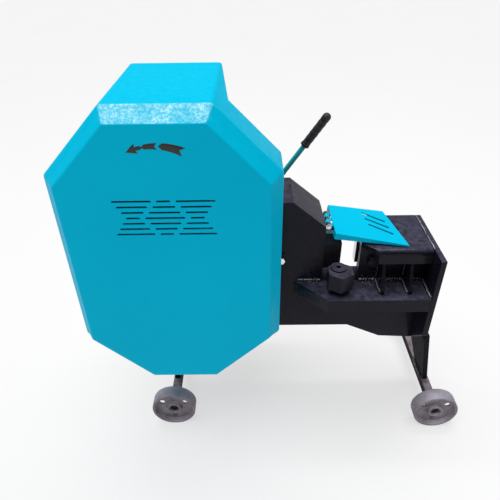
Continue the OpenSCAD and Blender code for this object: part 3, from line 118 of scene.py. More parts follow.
def lathe(profile, centre, axis, side, around=64):
    """Rings of the profile: point = centre + length * axis + radius * (cos a * side + sin a * (axis x side))."""
    profile = np.asarray(profile, float)
    axis = np.asarray(axis, float) / np.linalg.norm(axis)
    side = np.asarray(side, float)
    side = side - axis * side.dot(axis)
    side /= np.linalg.norm(side)
    other = np.cross(axis, side)
    a = np.linspace(0, 2 * np.pi, around, endpoint=False)
    circle = np.cos(a)[:, None] * side + np.sin(a)[:, None] * other
    points = np.asarray(centre, float) + profile[:, 0, None, None] * axis + profile[:, 1, None, None] * circle
    return points.reshape(-1, 3), ring_faces(len(profile), around)


def joined(shapes):
    """Several (vertices, faces) pairs as one pair."""
    vertices, faces, start = [], [], 0
    for points, polygons in shapes:
        vertices.append(np.asarray(points, float).reshape(-1, 3))
        faces += [[v + start for v in polygon] for polygon in polygons]
        start += len(vertices[-1])
    return np.concatenate(vertices), faces


# ---------- finishes ----------

def shader_of(name, roughness, metal=0.0, coat=0.0, coat_rough=0.1, specular=0.5):
    """A material with its node tree and its shader, whose even values are set on its own sockets."""
    material = bpy.data.materials.new(name)
    material.use_nodes = True
    tree = material.node_tree
    shader = tree.nodes["Principled BSDF"]
    shader.inputs["Roughness"].default_value = roughness
    shader.inputs["Metallic"].default_value = metal
    shader.inputs["Coat Weight"].default_value = coat
    shader.inputs["Coat Roughness"].default_value = coat_rough
    shader.inputs["Specular IOR Level"].default_value = specular
    return material, tree, shader


def place(tree, stretch=(1, 1, 1)):
    """Object coordinates, stretched for drawn, brushed or dripping patterns."""
    where = tree.nodes.new("ShaderNodeTexCoord")
    mapping = tree.nodes.new("ShaderNodeMapping")
    mapping.inputs["Scale"].default_value = stretch
    tree.links.new(where.outputs["Object"], mapping.inputs["Vector"])
    return mapping.outputs["Vector"]


def noise(tree, where, scale, detail=4.0, rough=0.55):
    """Cloudy noise from 0 to 1."""
    texture = tree.nodes.new("ShaderNodeTexNoise")
    texture.inputs["Scale"].default_value = scale
    texture.inputs["Detail"].default_value = detail
    texture.inputs["Roughness"].default_value = rough
    tree.links.new(where, texture.inputs["Vector"])
    return texture.outputs["Fac"]


def ramp(tree, value, stops):
    """Colour ramp from (position, colour) pairs; a number stands for a grey."""
    node = tree.nodes.new("ShaderNodeValToRGB")
    band = node.color_ramp
    for index, (position, colour) in enumerate(stops):
        entry = band.elements[index] if index < 2 else band.elements.new(position)
        entry.position = position
        entry.color = (*colour, 1) if isinstance(colour, tuple) else (colour, colour, colour, 1)
    tree.links.new(value, node.inputs["Fac"])
    return node.outputs["Color"]


def span(tree, value, low, high, from_low=0.3, from_high=0.7):
    """Goes from low to high as the value goes from from_low to from_high."""
    node = tree.nodes.new("ShaderNodeMapRange")
    node.inputs["From Min"].default_value = from_low
    node.inputs["From Max"].default_value = from_high
    node.inputs["To Min"].default_value = low
    node.inputs["To Max"].default_value = high
    tree.links.new(value, node.inputs["Value"])
    return node.outputs["Result"]


def mixed(tree, amount, first, second):
    """First where the amount is 0, second where it is 1."""
    node = tree.nodes.new("ShaderNodeMix")
    node.data_type = "RGBA"
    for value, socket in ((amount, 0), (first, 6), (second, 7)):
        if isinstance(value, bpy.types.NodeSocket):
            tree.links.new(value, node.inputs[socket])
        elif socket:
            node.inputs[socket].default_value = (*value, 1)
        else:
            node.inputs[socket].default_value = value
    return node.outputs[2]


def combined(tree, operation, first, second):
    """Two values under one arithmetic operation, held between 0 and 1."""
    node = tree.nodes.new("ShaderNodeMath")
    node.operation = operation
    node.use_clamp = True
    for index, value in enumerate((first, second)):
        if isinstance(value, bpy.types.NodeSocket):
            tree.links.new(value, node.inputs[index])
        else:
            node.inputs[index].default_value = value
    return node.outputs["Value"]


def bumped(tree, shader, layers):
    """Bumps laid on each other: (height field, depth in metres)."""
    normal = None
    for height, depth in layers:
        node = tree.nodes.new("ShaderNodeBump")
        node.inputs["Strength"].default_value = 1.0
        node.inputs["Distance"].default_value = depth
        tree.links.new(height, node.inputs["Height"])
        if normal is not None:
            tree.links.new(normal, node.inputs["Normal"])
        normal = node.outputs["Normal"]
    tree.links.new(normal, shader.inputs["Normal"])


def facing(tree, axis, low, high):
    """Rises from 0 to 1 as the surface's normal along the axis goes from low to high."""
    geometry = tree.nodes.new("ShaderNodeNewGeometry")
    split = tree.nodes.new("ShaderNodeSeparateXYZ")
    tree.links.new(geometry.outputs["Normal"], split.inputs["Vector"])
    return span(tree, split.outputs[axis], 0.0, 1.0, low, high)


def facing_up(tree, low=0.55, high=0.95):
    """1 on faces that look up and 0 elsewhere: the mask for settled dust, and for light and shade painted on
    upper faces.
    """
    return facing(tree, "Z", low, high)


def enamel(name, deep, body, light, rough=(0.3, 0.42), peel=0.00018, coat=0.0, dust_and_top_light=None, dust_and_light_amount=0.5,
           peel_scale=420.0, wave=0.0006, gloss=0.25, top_range=(0.55, 0.95), painted_glare=None):
    """Sprayed enamel: mottled colour, orange-peel bumps, long waves of the sheet, dust and painted light on upper
    faces, and pale specks of painted glare, a painted highlight, on the face that slopes up and to the front."""
    material, tree, shader = shader_of(name, sum(rough) / 2, coat=coat, coat_rough=0.12, specular=gloss)
    where = place(tree)
    cloud = noise(tree, where, 3.2, 5.0)
    colour = ramp(tree, cloud, [(0.3, deep), (0.7, light), (0.5, body)])
    fine = noise(tree, where, 60.0, 6.0)
    # Upper faces mixed toward a second colour: dust on the motor; on the other finishes it paints light and shade
    # on their tops (partly dust on the body, jaws and axles), as each finish below says.
    if dust_and_top_light:
        up = facing_up(tree, *top_range)
        dust_and_light_mask = combined(tree, "MULTIPLY", up, span(tree, fine, 0.25 * dust_and_light_amount, dust_and_light_amount))
        colour = mixed(tree, dust_and_light_mask, colour, dust_and_top_light)
    # Painted glare: pale specks of painted highlight on faces that slope up and to the front, standing in for the
    # lamp glinting on the bevel's orange peel.
    if painted_glare:
        glare_faces = combined(tree, "MULTIPLY", facing_up(tree, 0.6, 0.8), facing(tree, "Y", -0.3, -0.45))
        glare_specks = span(tree, noise(tree, where, 170.0, 7.0, 0.75), 0.12, 0.95, 0.44, 0.66)
        glare_patches = span(tree, noise(tree, where, 13.0, 3.0), 0.35, 1.0, 0.36, 0.6)
        painted_glare_mask = combined(tree, "MULTIPLY", combined(tree, "MULTIPLY", glare_specks, glare_patches), glare_faces)
        colour = mixed(tree, painted_glare_mask, colour, painted_glare)
    tree.links.new(colour, shader.inputs["Base Color"])
    tree.links.new(span(tree, fine, rough[0], rough[1]), shader.inputs["Roughness"])
    bumped(tree, shader, [(cloud, wave), (noise(tree, where, peel_scale, 2.0), peel)])
    return material


def cast_iron(name, deep, body, light, rust, rough=0.62, metal=0.35, pits=0.0009, painted_top_light=None):
    """Raw casting: grainy skin, blotches of light rust, and a paler colour on the upper faces, which is painted
    light on the tread's top.
    """
    material, tree, shader = shader_of(name, rough, metal=metal)
    where = place(tree)
    blotch = noise(tree, where, 26.0, 6.0, 0.62)
    grain = noise(tree, where, 330.0, 4.0, 0.6)
    colour = ramp(tree, blotch, [(0.32, deep), (0.68, light), (0.5, body)])
    rusty = span(tree, noise(tree, where, 11.0, 7.0, 0.7), 0.0, 0.7, 0.56, 0.72)
    colour = mixed(tree, rusty, colour, rust)
    # Painted light: the upper faces take a paler colour where the lamp falls on the tread's top.
    if painted_top_light:
        colour = mixed(tree, combined(tree, "MULTIPLY", facing_up(tree, 0.2, 0.7), blotch), colour, painted_top_light)
    tree.links.new(colour, shader.inputs["Base Color"])
    tree.links.new(span(tree, grain, rough - 0.12, rough + 0.12), shader.inputs["Roughness"])
    bumped(tree, shader, [(blotch, pits), (grain, pits * 0.35)])
    return material


def machined(name, deep, light, rough=0.3, stretch=(1, 1, 1), scale=180.0, depth=0.00006, metal=1.0):
    """Turned or ground metal: fine tool marks along one direction and a thin film of oil."""
    material, tree, shader = shader_of(name, rough, metal=metal)
    marks = noise(tree, place(tree, stretch), scale, 5.0, 0.65)
    film = noise(tree, place(tree), 14.0, 4.0)
    tree.links.new(ramp(tree, film, [(0.35, deep), (0.65, light)]), shader.inputs["Base Color"])
    tree.links.new(span(tree, film, rough - 0.08, rough + 0.1), shader.inputs["Roughness"])
    bumped(tree, shader, [(marks, depth)])
    return material


def moulded(name, deep, light, rough=0.5, grain=700.0, depth=0.00015):
    """Moulded rubber or plastic: fine matt grain and rubbed, slightly shinier patches."""
    material, tree, shader = shader_of(name, rough)
    where = place(tree)
    rubbed = noise(tree, where, 35.0, 4.0)
    tree.links.new(ramp(tree, rubbed, [(0.35, deep), (0.65, light)]), shader.inputs["Base Color"])
    tree.links.new(span(tree, rubbed, rough - 0.1, rough + 0.12), shader.inputs["Roughness"])
    bumped(tree, shader, [(noise(tree, where, grain, 3.0), depth)])
    return material


def worn_enamel(name, paint, primer, metal_colour, amount=0.6, rough=0.35):
    """Enamel chipped through to bare steel in small ragged spots."""
    material, tree, shader = shader_of(name, rough, coat=0.2)
    where = place(tree)
    chips = span(tree, noise(tree, where, 90.0, 8.0, 0.7), 0.0, 1.0, amount, amount + 0.04)
    tint = noise(tree, where, 8.0, 4.0)
    colour = ramp(tree, tint, [(0.3, primer), (0.7, paint)])
    tree.links.new(mixed(tree, chips, colour, metal_colour), shader.inputs["Base Color"])
    tree.links.new(chips, shader.inputs["Metallic"])
    bumped(tree, shader, [(chips, -0.00015), (noise(tree, where, 260.0, 3.0), 0.00012)])
    return material


FINISH = {
    # Guard: its upper faces take a deeper teal, painted shade that sets how the lit top reads, not dust; the pale
    # specks on the front bevel are painted glare.
    "guard_teal": enamel("guard_enamel", (0.0, 0.49, 0.745), (0.0, 0.51, 0.77), (0.0, 0.53, 0.795),
                         rough=(0.34, 0.46), peel=0.0003, dust_and_top_light=(0.0, 0.44, 0.64), dust_and_light_amount=0.8, gloss=0.03,
                         top_range=(0.2, 0.9), painted_glare=(0.62, 0.95, 1.0)),
    # Cover: its upper faces take a lighter teal, painted light on its top, not dust.
    "cover_cyan": enamel("cover_enamel", (0.0, 0.44, 0.66), (0.0, 0.46, 0.69), (0.0, 0.48, 0.72),
                         rough=(0.3, 0.42), dust_and_top_light=(0.0, 0.5, 0.74), dust_and_light_amount=0.3, gloss=0.04),
    # Body: a pale violet grey on upper faces, partly dust and partly painted sheen on the roof and tops.
    "body_black": enamel("body_enamel", (0.006, 0.0055, 0.011), (0.009, 0.0085, 0.016), (0.015, 0.0135, 0.023),
                         rough=(0.24, 0.45), peel=0.0004, peel_scale=150.0, wave=0.0012, gloss=0.12,
                         dust_and_top_light=(0.085, 0.075, 0.11), dust_and_light_amount=0.75),
    "lever_teal": worn_enamel("lever_enamel", (0.01, 0.42, 0.5), (0.01, 0.3, 0.36), (0.5, 0.5, 0.5), 0.6),
    "motor_grey": enamel("motor_enamel", (0.09, 0.12, 0.135), (0.12, 0.155, 0.17), (0.15, 0.19, 0.2),
                         rough=(0.4, 0.55), dust_and_top_light=(0.3, 0.3, 0.28), dust_and_light_amount=0.4),
    # Wheels: the pale colour on their upper faces is painted light on the tread's top, not wear.
    "wheel_iron": cast_iron("wheel_casting", (0.15, 0.125, 0.15), (0.22, 0.19, 0.22), (0.3, 0.265, 0.3),
                            (0.17, 0.11, 0.09), painted_top_light=(0.52, 0.5, 0.58)),
    "dark_iron": cast_iron("oiled_casting", (0.05, 0.05, 0.055), (0.09, 0.09, 0.095), (0.15, 0.15, 0.155),
                           (0.1, 0.06, 0.04), rough=0.5, metal=0.6),
    "steel": machined("turned_steel", (0.42, 0.42, 0.43), (0.62, 0.62, 0.63), 0.32, (1, 6, 1)),
    "bright_zinc": machined("zinc_plate", (0.66, 0.67, 0.68), (0.85, 0.86, 0.87), 0.22, (4, 4, 4), 60.0),
    "blade_steel": machined("ground_steel", (0.55, 0.55, 0.57), (0.75, 0.75, 0.77), 0.25, (1, 1, 9), 150.0),
    "bronze": machined("bronze", (0.42, 0.26, 0.1), (0.62, 0.42, 0.18), 0.35, (6, 1, 1)),
    "black_plastic": moulded("black_plastic", (0.018, 0.018, 0.02), (0.03, 0.03, 0.033)),
    "black_rubber": moulded("black_rubber", (0.008, 0.008, 0.009), (0.02, 0.02, 0.021), 0.55, 900.0),
}
# Welds: the pale colour on the tops of the beads and spatter is painted glints of light, a painted highlight, not
# dust.
WELD = enamel("weld_enamel", (0.008, 0.007, 0.011), (0.014, 0.012, 0.018), (0.03, 0.027, 0.035),
              rough=(0.08, 0.2), peel=0.0006, peel_scale=260.0, coat=0.5, dust_and_top_light=(0.6, 0.6, 0.66),
              dust_and_light_amount=0.7, top_range=(0.72, 1.0))
# Jaws: the blue-grey on their upper faces is painted sheen on the cap and table tops, with some dust.
JAW = enamel("jaw_enamel", (0.005, 0.0045, 0.009), (0.008, 0.0075, 0.014), (0.014, 0.0125, 0.023),
             rough=(0.12, 0.26), peel=0.0009, peel_scale=70.0, wave=0.003, gloss=0.14,
             dust_and_top_light=(0.10, 0.10, 0.155), dust_and_light_amount=0.6)
LEG = enamel("leg_enamel", (0.006, 0.0055, 0.009), (0.010, 0.009, 0.014), (0.016, 0.014, 0.02),
             rough=(0.7, 0.85), peel=0.0003, gloss=0.05)
# Axles: the mauve grey over their upper faces is painted light on the bars' tops, with some dust; the sides stay
# black.
AXLE = enamel("axle_enamel", (0.006, 0.0055, 0.009), (0.010, 0.009, 0.014), (0.016, 0.014, 0.02),
              rough=(0.6, 0.8), peel=0.0003, gloss=0.1, dust_and_top_light=(0.25, 0.21, 0.235), dust_and_light_amount=1.6)
RAM = enamel("ram_enamel", (0.008, 0.008, 0.011), (0.014, 0.013, 0.018), (0.024, 0.022, 0.028),
             rough=(0.25, 0.4), peel=0.0003, gloss=0.3)
DECAL = moulded("arrow_vinyl", (0.006, 0.006, 0.007), (0.02, 0.014, 0.012), 0.4, 300.0, 0.0001)

# Nodes of the black body whose enamel differs: glossier at the jaws with painted sheen on their tops, matt near
# the floor, where the axles' tops are painted lighter with painted light and dust
SPECIAL = {"jaw_cap": JAW, "work_table": JAW, "table_ribs": JAW, "end_plate": JAW, "front_leg": LEG,
           "rear_leg": LEG, "front_axle": AXLE, "rear_axle": AXLE, "ram": RAM}


def dress_nodes():
    """Every node gets the finish of its material slot; the plates and castings get eased edges."""
    eased = {
        "near_side_plate": 1.4, "far_side_plate": 1.4, "roof_plate": 1.2, "jaw_block": 1.2, "jaw_cap": 1.6,
        "table_ribs": 1.2, "end_plate": 1.6, "work_table": 2.0, "front_leg": 1.2, "rear_leg": 1.2,
        "front_axle": 1.2, "rear_axle": 1.2, "stop_block": 1.5, "safety_cover": 0.8, "ram": 0.8,
        "ram_guide": 1.0, "wheel_front_near": 1.2, "wheel_front_far": 1.2, "wheel_rear_near": 1.2,
        "wheel_rear_far": 1.2, "shift_fork": 0.8, "hex_bolts": 0.6, "fixed_blade_bolt": 0.8, "gear_case": 1.5,
        "gear_case_cover": 1.2, "motor_base": 1.2, "terminal_box": 1.5, "guard_stays": 0.8, "conrod": 1.0,
        "flywheel": 1.5, "belly_plate": 1.0, "cover_hinge": 0.5, "moving_blade": 0.4, "fixed_blade": 0.4}
    for row in frame["record"]["subparts"]:
        node = NODES[row["node"]]
        node.data.materials.clear()
        node.data.materials.append(SPECIAL.get(row["node"], FINISH[row["material_slot"]]))
        if row["node"] in eased:
            weld = node.modifiers.new("joined", "WELD")
            weld.merge_threshold = 2e-5
            edge = node.modifiers.new("eased", "BEVEL")
            edge.width = eased[row["node"]] * MM
            edge.segments = 2
            edge.limit_method = "ANGLE"
            edge.angle_limit = math.radians(28)
            edge.harden_normals = False


# ---------- guard ----------

def grown(corners, out):
    """Corners of a convex outline, each moved out along its mitre; the corners go anticlockwise."""
    corners = np.asarray(corners, float)
    side = np.roll(corners, -1, axis=0) - corners
    side /= np.linalg.norm(side, axis=1)[:, None]
    normal = np.column_stack([side[:, 1], -side[:, 0]])
    before = np.roll(normal, 1, axis=0)
    mitre = normal + before
    return corners + out * mitre / (1 + (normal * before).sum(1))[:, None]


def rounded(corners, radius, steps=6, middle=5):
    """Outline of a convex polygon: an arc of the radius at each corner, and a straight run of evenly spaced
    points from each arc to the next."""
    corners = np.asarray(corners, float)
    back = np.roll(corners, 1, axis=0) - corners
    ahead = np.roll(corners, -1, axis=0) - corners
    back /= np.linalg.norm(back, axis=1)[:, None]
    ahead /= np.linalg.norm(ahead, axis=1)[:, None]
    half = np.arccos(np.clip((back * ahead).sum(1), -1, 1)) / 2
    reach = (radius / np.tan(half))[:, None]
    middle_way = (back + ahead) / np.linalg.norm(back + ahead, axis=1)[:, None]
    centre = corners + middle_way * (radius / np.sin(half))[:, None]
    start = corners + back * reach - centre
    first = np.arctan2(start[:, 1], start[:, 0])
    turn = np.pi - 2 * half
    angle = first[:, None] + turn[:, None] * np.linspace(0, 1, steps)
    arcs = centre[:, None, :] + radius * np.stack([np.cos(angle), np.sin(angle)], -1)
    leave, arrive = arcs[:, -1], np.roll(arcs[:, 0], -1, axis=0)
    share = np.linspace(0, 1, middle + 2)[1:-1]
    runs = leave[:, None, :] + (arrive - leave)[:, None, :] * share[:, None]
    return np.concatenate([arcs, runs], axis=1).reshape(-1, 2)


# Half of the guard's flat face in millimetres, then its mirror image: distance from the middle, and height
GUARD_FACE = [(79.5, 298.0), (212.5, 426.5), (212.5, 833.0), (93.0, 957.0),
              (-93.0, 957.0), (-212.5, 833.0), (-212.5, 426.5), (-79.5, 298.0)]
GUARD_TOP = 957.0
GUARD_MIDDLE = np.array([0.0, 640.0])
WALL_OUT = 24.9
WALL_DEEP = 39.5
SHEET = 2.6
WALL_BACK = -105.0
HOOD_BACK = 94.5


def guard_ring(out, radius):
    """The guard's face outline grown outwards, with rounded corners."""
    return rounded(grown(GUARD_FACE, out), radius)


def hood_depth(ring):
    """How far back the wall runs at each point: the hood over the motor where the ring rises above the flange,
    its corners drawn forward along a quarter of an ellipse, and the wall's own back edge elsewhere."""
    corner_long, corner_high = 26.0, 16.0
    rise = ring[:, 1] - GUARD_TOP - 1.0
    bend = np.clip(rise / corner_high, 0.0, 1.0)
    round_off = corner_long * (1.0 - np.sqrt(1.0 - (1.0 - bend) ** 2))
    return np.where(rise > 0, HOOD_BACK - round_off, WALL_BACK)


def at_depth(ring, y):
    """A ring of (across, up) points set at depth y, which is one number or one for each point."""
    return np.column_stack([ring[:, 0], np.zeros(len(ring)) + y, ring[:, 1]])


def guard_profile():
    """Rows of (distance out, depth from the face, corner radius): flat face, rounded edge, bevel and rounded
    shoulder. Both roundings are arcs between the bevel's angle and its neighbour's."""
    bend = np.radians(np.linspace(0, 57.5, 6))
    edge = [(-4.0 + 5.4 * math.sin(a), 5.4 * (1 - math.cos(a)), 5.0) for a in bend]
    first_out, first_deep = edge[-1][:2]
    bevel = [(first_out + (WALL_OUT - 4.4 - first_out) * t, first_deep + (34.0 - first_deep) * t, 5.0 + 6.0 * t)
             for t in (0.25, 0.5, 0.75)]
    turn = np.radians(np.linspace(32.5, 0, 6))
    shoulder = [(WALL_OUT - 7.0 * (1 - math.cos(a)), WALL_DEEP - 7.0 * math.sin(a), 12.0) for a in turn]
    return [(-60.0, 0.0, 5.0), (-20.0, 0.0, 5.0)] + edge + bevel + shoulder


def guard_shell():
    """Profile carried round the octagon, then the wall back to its edge, and the same way back inside. The
    face is closed by rings that shrink to its middle: ring = middle + share * (ring - middle)."""
    face_y = GUARD_LOW[1] / MM + 0.45
    inner_y = face_y + 2.8
    profile = guard_profile()
    first = guard_ring(profile[0][0], profile[0][2])
    rings = [at_depth(GUARD_MIDDLE + (first - GUARD_MIDDLE) * share, face_y) for share in (0.02, 0.35, 0.7)]
    rings += [at_depth(guard_ring(out, radius), face_y + deep) for out, deep, radius in profile]
    wall = guard_ring(WALL_OUT, 12.0)
    back = hood_depth(wall)
    wall_start = face_y + WALL_DEEP
    rings += [at_depth(wall, wall_start + (back - wall_start) * share) for share in (0.35, 0.7, 1.0)]
    inner = guard_ring(WALL_OUT - SHEET, 10.0)
    inner_start = face_y + 41.0
    rings += [at_depth(inner, inner_start + (back - inner_start) * share) for share in (1.0, 0.5, 0.0)]
    inside = guard_ring(-5.0, 4.0)
    rings += [at_depth(GUARD_MIDDLE + (inside - GUARD_MIDDLE) * share, inner_y) for share in (1.0, 0.6, 0.02)]
    points = np.array(rings) * MM
    points[:, :, 0] += GUARD_X
    return points.reshape(-1, 3), ring_faces(len(rings), points.shape[1])


def slot_cutters():
    """Rows of round-ended bars through the face: the middle one longest in the fourth row, the outer ones in
    the first and last."""
    shapes = []
    face = GUARD_LOW[1]
    rows, corners, half, between = 7, 12, 2.3 * MM, 10.5
    angle = np.linspace(0, 2 * np.pi, corners, endpoint=False)
    for row in range(rows):
        spread = abs(row - rows // 2)
        inner = 40.0 - 8.7 * spread
        outer = 79.0 + 7.8 * spread
        height = 0.801 - 0.0126 * row
        for left, right in ((-inner, inner), (-outer, -inner - between), (inner + between, outer)):
            x0, x1 = GUARD_X + left * MM + half, GUARD_X + right * MM - half
            x = np.where(np.cos(angle) > 0, x1, x0) + half * np.cos(angle)
            z = height + half * np.sin(angle)
            ends = [np.column_stack([x, np.full(corners, y), z]) for y in (face - 0.004, face + 0.008)]
            shapes.append((np.concatenate(ends), ring_faces(2, corners)))
    return joined(shapes)


def build_guard():
    """The guard's sheet shell with its slots cut through, in place of the plain cover."""
    points, faces = guard_shell()
    guard = new_piece("guard_shell", points, faces, "frame", FINISH["guard_teal"], 30.0)
    cut_points, cut_faces = slot_cutters()
    cutter = new_piece("slot_cutter", cut_points, cut_faces, "frame", FINISH["guard_teal"])
    cut = guard.modifiers.new("slots", "BOOLEAN")
    cut.operation = "DIFFERENCE"
    cut.solver = "EXACT"
    cut.object = cutter
    bpy.context.view_layer.update()
    shaped = bpy.data.meshes.new_from_object(guard.evaluated_get(bpy.context.evaluated_depsgraph_get()))
    guard.modifiers.clear()
    guard.data = shaped
    shaped.polygons.foreach_set("use_smooth", np.ones(len(shaped.polygons), bool))
    shaped.set_sharp_from_angle(angle=math.radians(30))
    bpy.data.objects.remove(cutter)
    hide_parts("guard_cover")


def arc_band(start, end, half_start, half_end, notch_start, notch_end, steps=18):
    """Band along the arc height = top - (x - middle)^2 / (2 bend): x runs from start to end, and each end is
    pushed along the band by its notch, most at the middle of the band."""
    top, middle_x, bend = 915.0, -269.0, 118.0
    t = np.linspace(0, 1, steps)
    side = np.linspace(-1, 1, 5)[:, None]
    x = start + (end - start) * t + (1 - np.abs(side)) * (notch_start * (1 - t) + notch_end * t)
    slope = -(x - middle_x) / bend
    half = half_start + (half_end - half_start) * t
    px = x - slope * side * half
    pz = top - (x - middle_x) ** 2 / (2 * bend) + side * half
    i, j = np.meshgrid(np.arange(4), np.arange(steps - 1), indexing="ij")
    quads = np.stack([i * steps + j, i * steps + j + 1, (i + 1) * steps + j + 1, (i + 1) * steps + j], -1)
    return np.stack([px, 0 * px, pz], -1).reshape(-1, 3), quads.reshape(-1, 4).tolist()


def curved_arrow():
    """Turning arrow: a pointed head with its short shaft, and two swallow-tailed chevrons, along one arc."""
    points, faces = joined([
        arc_band(-321.0, -302.0, 0.3, 9.5, 0.0, -3.0),
        arc_band(-305.0, -294.0, 3.2, 3.8, 0.0, 3.0),
        arc_band(-287.0, -263.5, 4.6, 6.4, -5.0, -4.5),
        arc_band(-254.0, -215.0, 6.6, 8.2, -7.0, -8.0)])
    points = points * MM
    points[:, 1] = GUARD_LOW[1] + 0.00028
    arrow = new_piece("turn_arrow", points, faces, "frame", DECAL)
    thick = arrow.modifiers.new("vinyl", "SOLIDIFY")
    thick.thickness = 0.0003
    thick.offset = 0.0


# ---------- welds ----------

def weld_run(start, end, radius, seed, step=0.0016):
    """Bead along a line: rings of radius * (0.78 + 0.3 * |sin| of each stop of the torch + a slow wander)."""
    start, end = np.array(start, float), np.array(end, float)
    length = np.linalg.norm(end - start)
    along = (end - start) / length
    count, around, stop = max(8, int(length / step)), 10, 0.0062
    t = np.linspace(0, 1, count)
    rng = np.random.default_rng(seed)
    wander = np.interp(t, np.linspace(0, 1, max(3, count // 5)), rng.normal(0, 1, max(3, count // 5)))
    ripple = np.abs(np.sin(np.pi * t * length / stop + wander * 0.6))
    size = radius * (0.78 + 0.3 * ripple + 0.12 * wander)
    size[[0, -1]] *= 0.35
    helper = np.array([0, 0, 1.0]) if abs(along[2]) < 0.9 else np.array([0, 1.0, 0])
    side = np.cross(along, helper)
    side /= np.linalg.norm(side)
    up = np.cross(side, along)
    a = np.linspace(0, 2 * np.pi, around, endpoint=False)
    centre = start + (end - start) * t[:, None] + side * (wander * radius * 0.15)[:, None]
    circle = np.cos(a)[:, None] * side + np.sin(a)[:, None] * up
    rings = centre[:, None, :] + size[:, None, None] * circle
    return rings.reshape(-1, 3), ring_faces(count, around)


def weld_lines():
    """Start, end and radius of every bead: table, end plate, jaw cap, ribs and legs. None crosses the throat."""
    y, top = NEAR_FACE, TABLE_TOP
    left = TABLE_LOW[0] + 0.006
    throat_left, throat_right = 0.084, 0.178
    under_cap = CAP_LOW[2] + 0.026
    below = top - 0.038
    lines = [
        ((left, y, top), (throat_left, y, top), 0.0055),
        ((throat_right, y, top), (END_IN - 0.002, y, top), 0.0062),
        ((END_IN, TABLE_LOW[1] + 0.004, top), (END_IN, y, top), 0.0045),
        ((left + 0.004, y, below), (END_IN - 0.002, y, below), 0.0045),
        ((END_IN, CAP_LOW[1] + 0.004, CAP_HIGH[2]), (END_IN, FAR_FACE - 0.004, CAP_HIGH[2]), 0.0026),
        ((CAP_LOW[0] + 0.004, y, under_cap), (0.218, y, under_cap), 0.0035)]
    rib_left, rib_right, rib = RIB_LOW[0], RIB_HIGH[0], 0.008
    for x in (rib_left, rib_left + rib, rib_right - rib, rib_right):
        lines.append(((x, RIB_LOW[1] + 0.006, top), (x, y, top), 0.0048))
        lines.append(((x, y, top), (x, y, under_cap - 0.002), 0.0038))
    for name, high in (("front_leg", False), ("rear_leg", False)):
        low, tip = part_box(name)
        x = (low[0] + tip[0]) / 2 if name == "rear_leg" else tip[0] - 0.012
        for edge in (-0.0072, 0.0072):
            lines.append(((x + edge, -0.056, low[2]), (x + edge, 0.013, low[2]), 0.0035))
    low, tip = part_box("front_leg")
    lines.append(((low[0], TABLE_LOW[1] + 0.012, tip[2]), (low[0], FAR_FACE - 0.01, tip[2]), 0.004))
    low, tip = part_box("rear_leg")
    for edge in (-0.001, 0.015):
        lines.append(((low[0] + edge, -0.09, tip[2]), (low[0] + edge, 0.036, tip[2]), 0.004))
    return lines


def build_welds():
    """All beads as one piece."""
    runs = [weld_run(start, end, radius, seed) for seed, (start, end, radius) in enumerate(weld_lines())]
    points, faces = joined(runs)
    new_piece("weld_beads", points, faces, "frame", WELD, 60.0)


def build_spatter():
    """Drops thrown off the welding torch: balls of 0.6 to 2.4 mm, half sunk, thick near the table's long bead."""
    rng = np.random.default_rng(11)
    count = 320
    x = rng.uniform(TABLE_LOW[0] + 0.03, END_IN - 0.01, count)
    away = np.abs(rng.normal(0, 0.013, count)) + 0.004
    wall = rng.uniform(0, 1, count) < 0.3
    radius = rng.uniform(0.0006, 0.0024, count)
    centre = np.column_stack([x, NEAR_FACE - away, np.full(count, TABLE_TOP)])
    centre[wall, 1] = NEAR_FACE
    centre[wall, 2] = TABLE_TOP + away[wall]
    clear = (x < 0.076) | (x > 0.182)
    centre, radius = centre[clear], radius[clear]
    a = np.linspace(0, 2 * np.pi, 7, endpoint=False)
    levels = np.radians([-60, -20, 25, 65])
    ball = np.stack([np.cos(levels)[:, None] * np.cos(a), np.cos(levels)[:, None] * np.sin(a),
                     np.sin(levels)[:, None] + 0 * a], -1).reshape(-1, 3)
    faces = ring_faces(4, 7)
    points, polygons = joined([(c + r * ball, faces) for c, r in zip(centre, radius)])
    new_piece("weld_spatter", points, polygons, "frame", WELD, 80.0)


# ---------- lever grip ----------

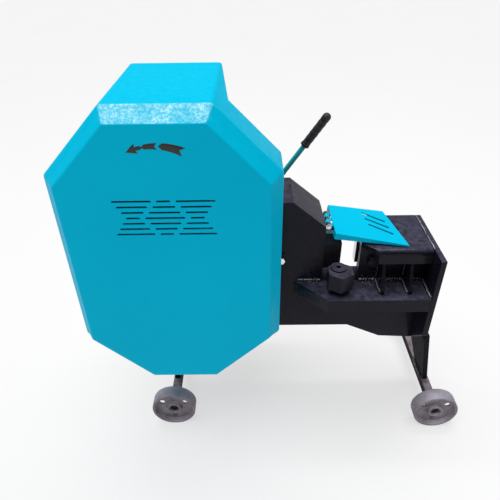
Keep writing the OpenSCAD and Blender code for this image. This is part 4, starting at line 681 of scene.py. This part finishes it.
def build_grip():
    """Lathed grip: radius = mean + wave * sine along the fingers, a flange below and a round end."""
    lean = math.radians(34.7)
    direction = np.array([math.sin(lean), 0.0, math.cos(lean)])
    low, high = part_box("lever_grip")
    end_radius, length = 0.0115, 0.107
    tip = np.array([high[0], (low[1] + high[1]) / 2, high[2]]) - end_radius * np.array([1, 0, 1])
    foot = tip - direction * (length - end_radius)
    mean, wave = 0.0112, 0.00028
    profile = [(0.0, 0.0071), (0.0, 0.0118), (0.001, 0.0125), (0.006, 0.0125), (0.008, 0.0115)]
    t = np.linspace(0, 1, 60)
    body = np.column_stack([0.009 + 0.081 * t, mean + wave * np.cos(2 * np.pi * 5 * t)])
    dome = [(length - end_radius + end_radius * math.sin(b), end_radius * math.cos(b))
            for b in np.radians(np.linspace(5, 88, 9))]
    profile = np.vstack([profile, body, [(0.0925, 0.0113)], dome])
    points, faces = lathe(profile, foot, direction, (0, 1, 0), 48)
    grip = new_piece("rubber_grip", points, faces, "lever_set", FINISH["black_rubber"])
    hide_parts("lever_grip")


# ---------- setting ----------

def build_setting():
    """Pale paper floor that glows a little, a dim even sky, a broad lamp overhead and one long tube."""
    floor_mesh = bpy.data.meshes.new("floor")
    reach = 30.0
    floor_mesh.from_pydata([(-reach, -reach, 0), (reach, -reach, 0), (reach, reach, 0), (-reach, reach, 0)],
                           [], [(0, 1, 2, 3)])
    material, tree, shader = shader_of("floor_paper", 0.9, specular=0.05)
    tree.links.new(ramp(tree, noise(tree, place(tree), 1.5), [(0.3, 0.30), (0.7, 0.31)]),
                   shader.inputs["Base Color"])
    shader.inputs["Emission Color"].default_value = (1.0, 1.0, 1.0, 1)
    shader.inputs["Emission Strength"].default_value = 0.61
    floor_mesh.materials.append(material)
    floor = bpy.data.objects.new("floor", floor_mesh)
    bpy.context.scene.collection.objects.link(floor)
    world = bpy.data.worlds.new("studio")
    world.use_nodes = True
    world.node_tree.nodes["Background"].inputs["Color"].default_value = (1.0, 1.0, 1.0, 1)
    world.node_tree.nodes["Background"].inputs["Strength"].default_value = 0.14
    bpy.context.scene.world = world
    lamp = bpy.data.lights.new("ceiling", "SUN")
    lamp.energy = 2.75
    lamp.angle = math.radians(62)
    ceiling = bpy.data.objects.new("ceiling", lamp)
    ceiling.rotation_euler = Vector((0.16, 0.05, -1.0)).to_track_quat("-Z", "Y").to_euler()
    bpy.context.scene.collection.objects.link(ceiling)
    tube = bpy.data.lights.new("tube", "AREA")
    tube.shape = "RECTANGLE"
    tube.size, tube.size_y = 3.0, 0.22
    tube.energy = 26.0
    strip = bpy.data.objects.new("tube", tube)
    strip.location = (0.1, 0.5, 3.0)
    bpy.context.scene.collection.objects.link(strip)
    bpy.context.scene.view_settings.view_transform = "Standard"


place_camera()
dress_nodes()
build_guard()
curved_arrow()
build_welds()
build_spatter()
build_grip()
build_setting()
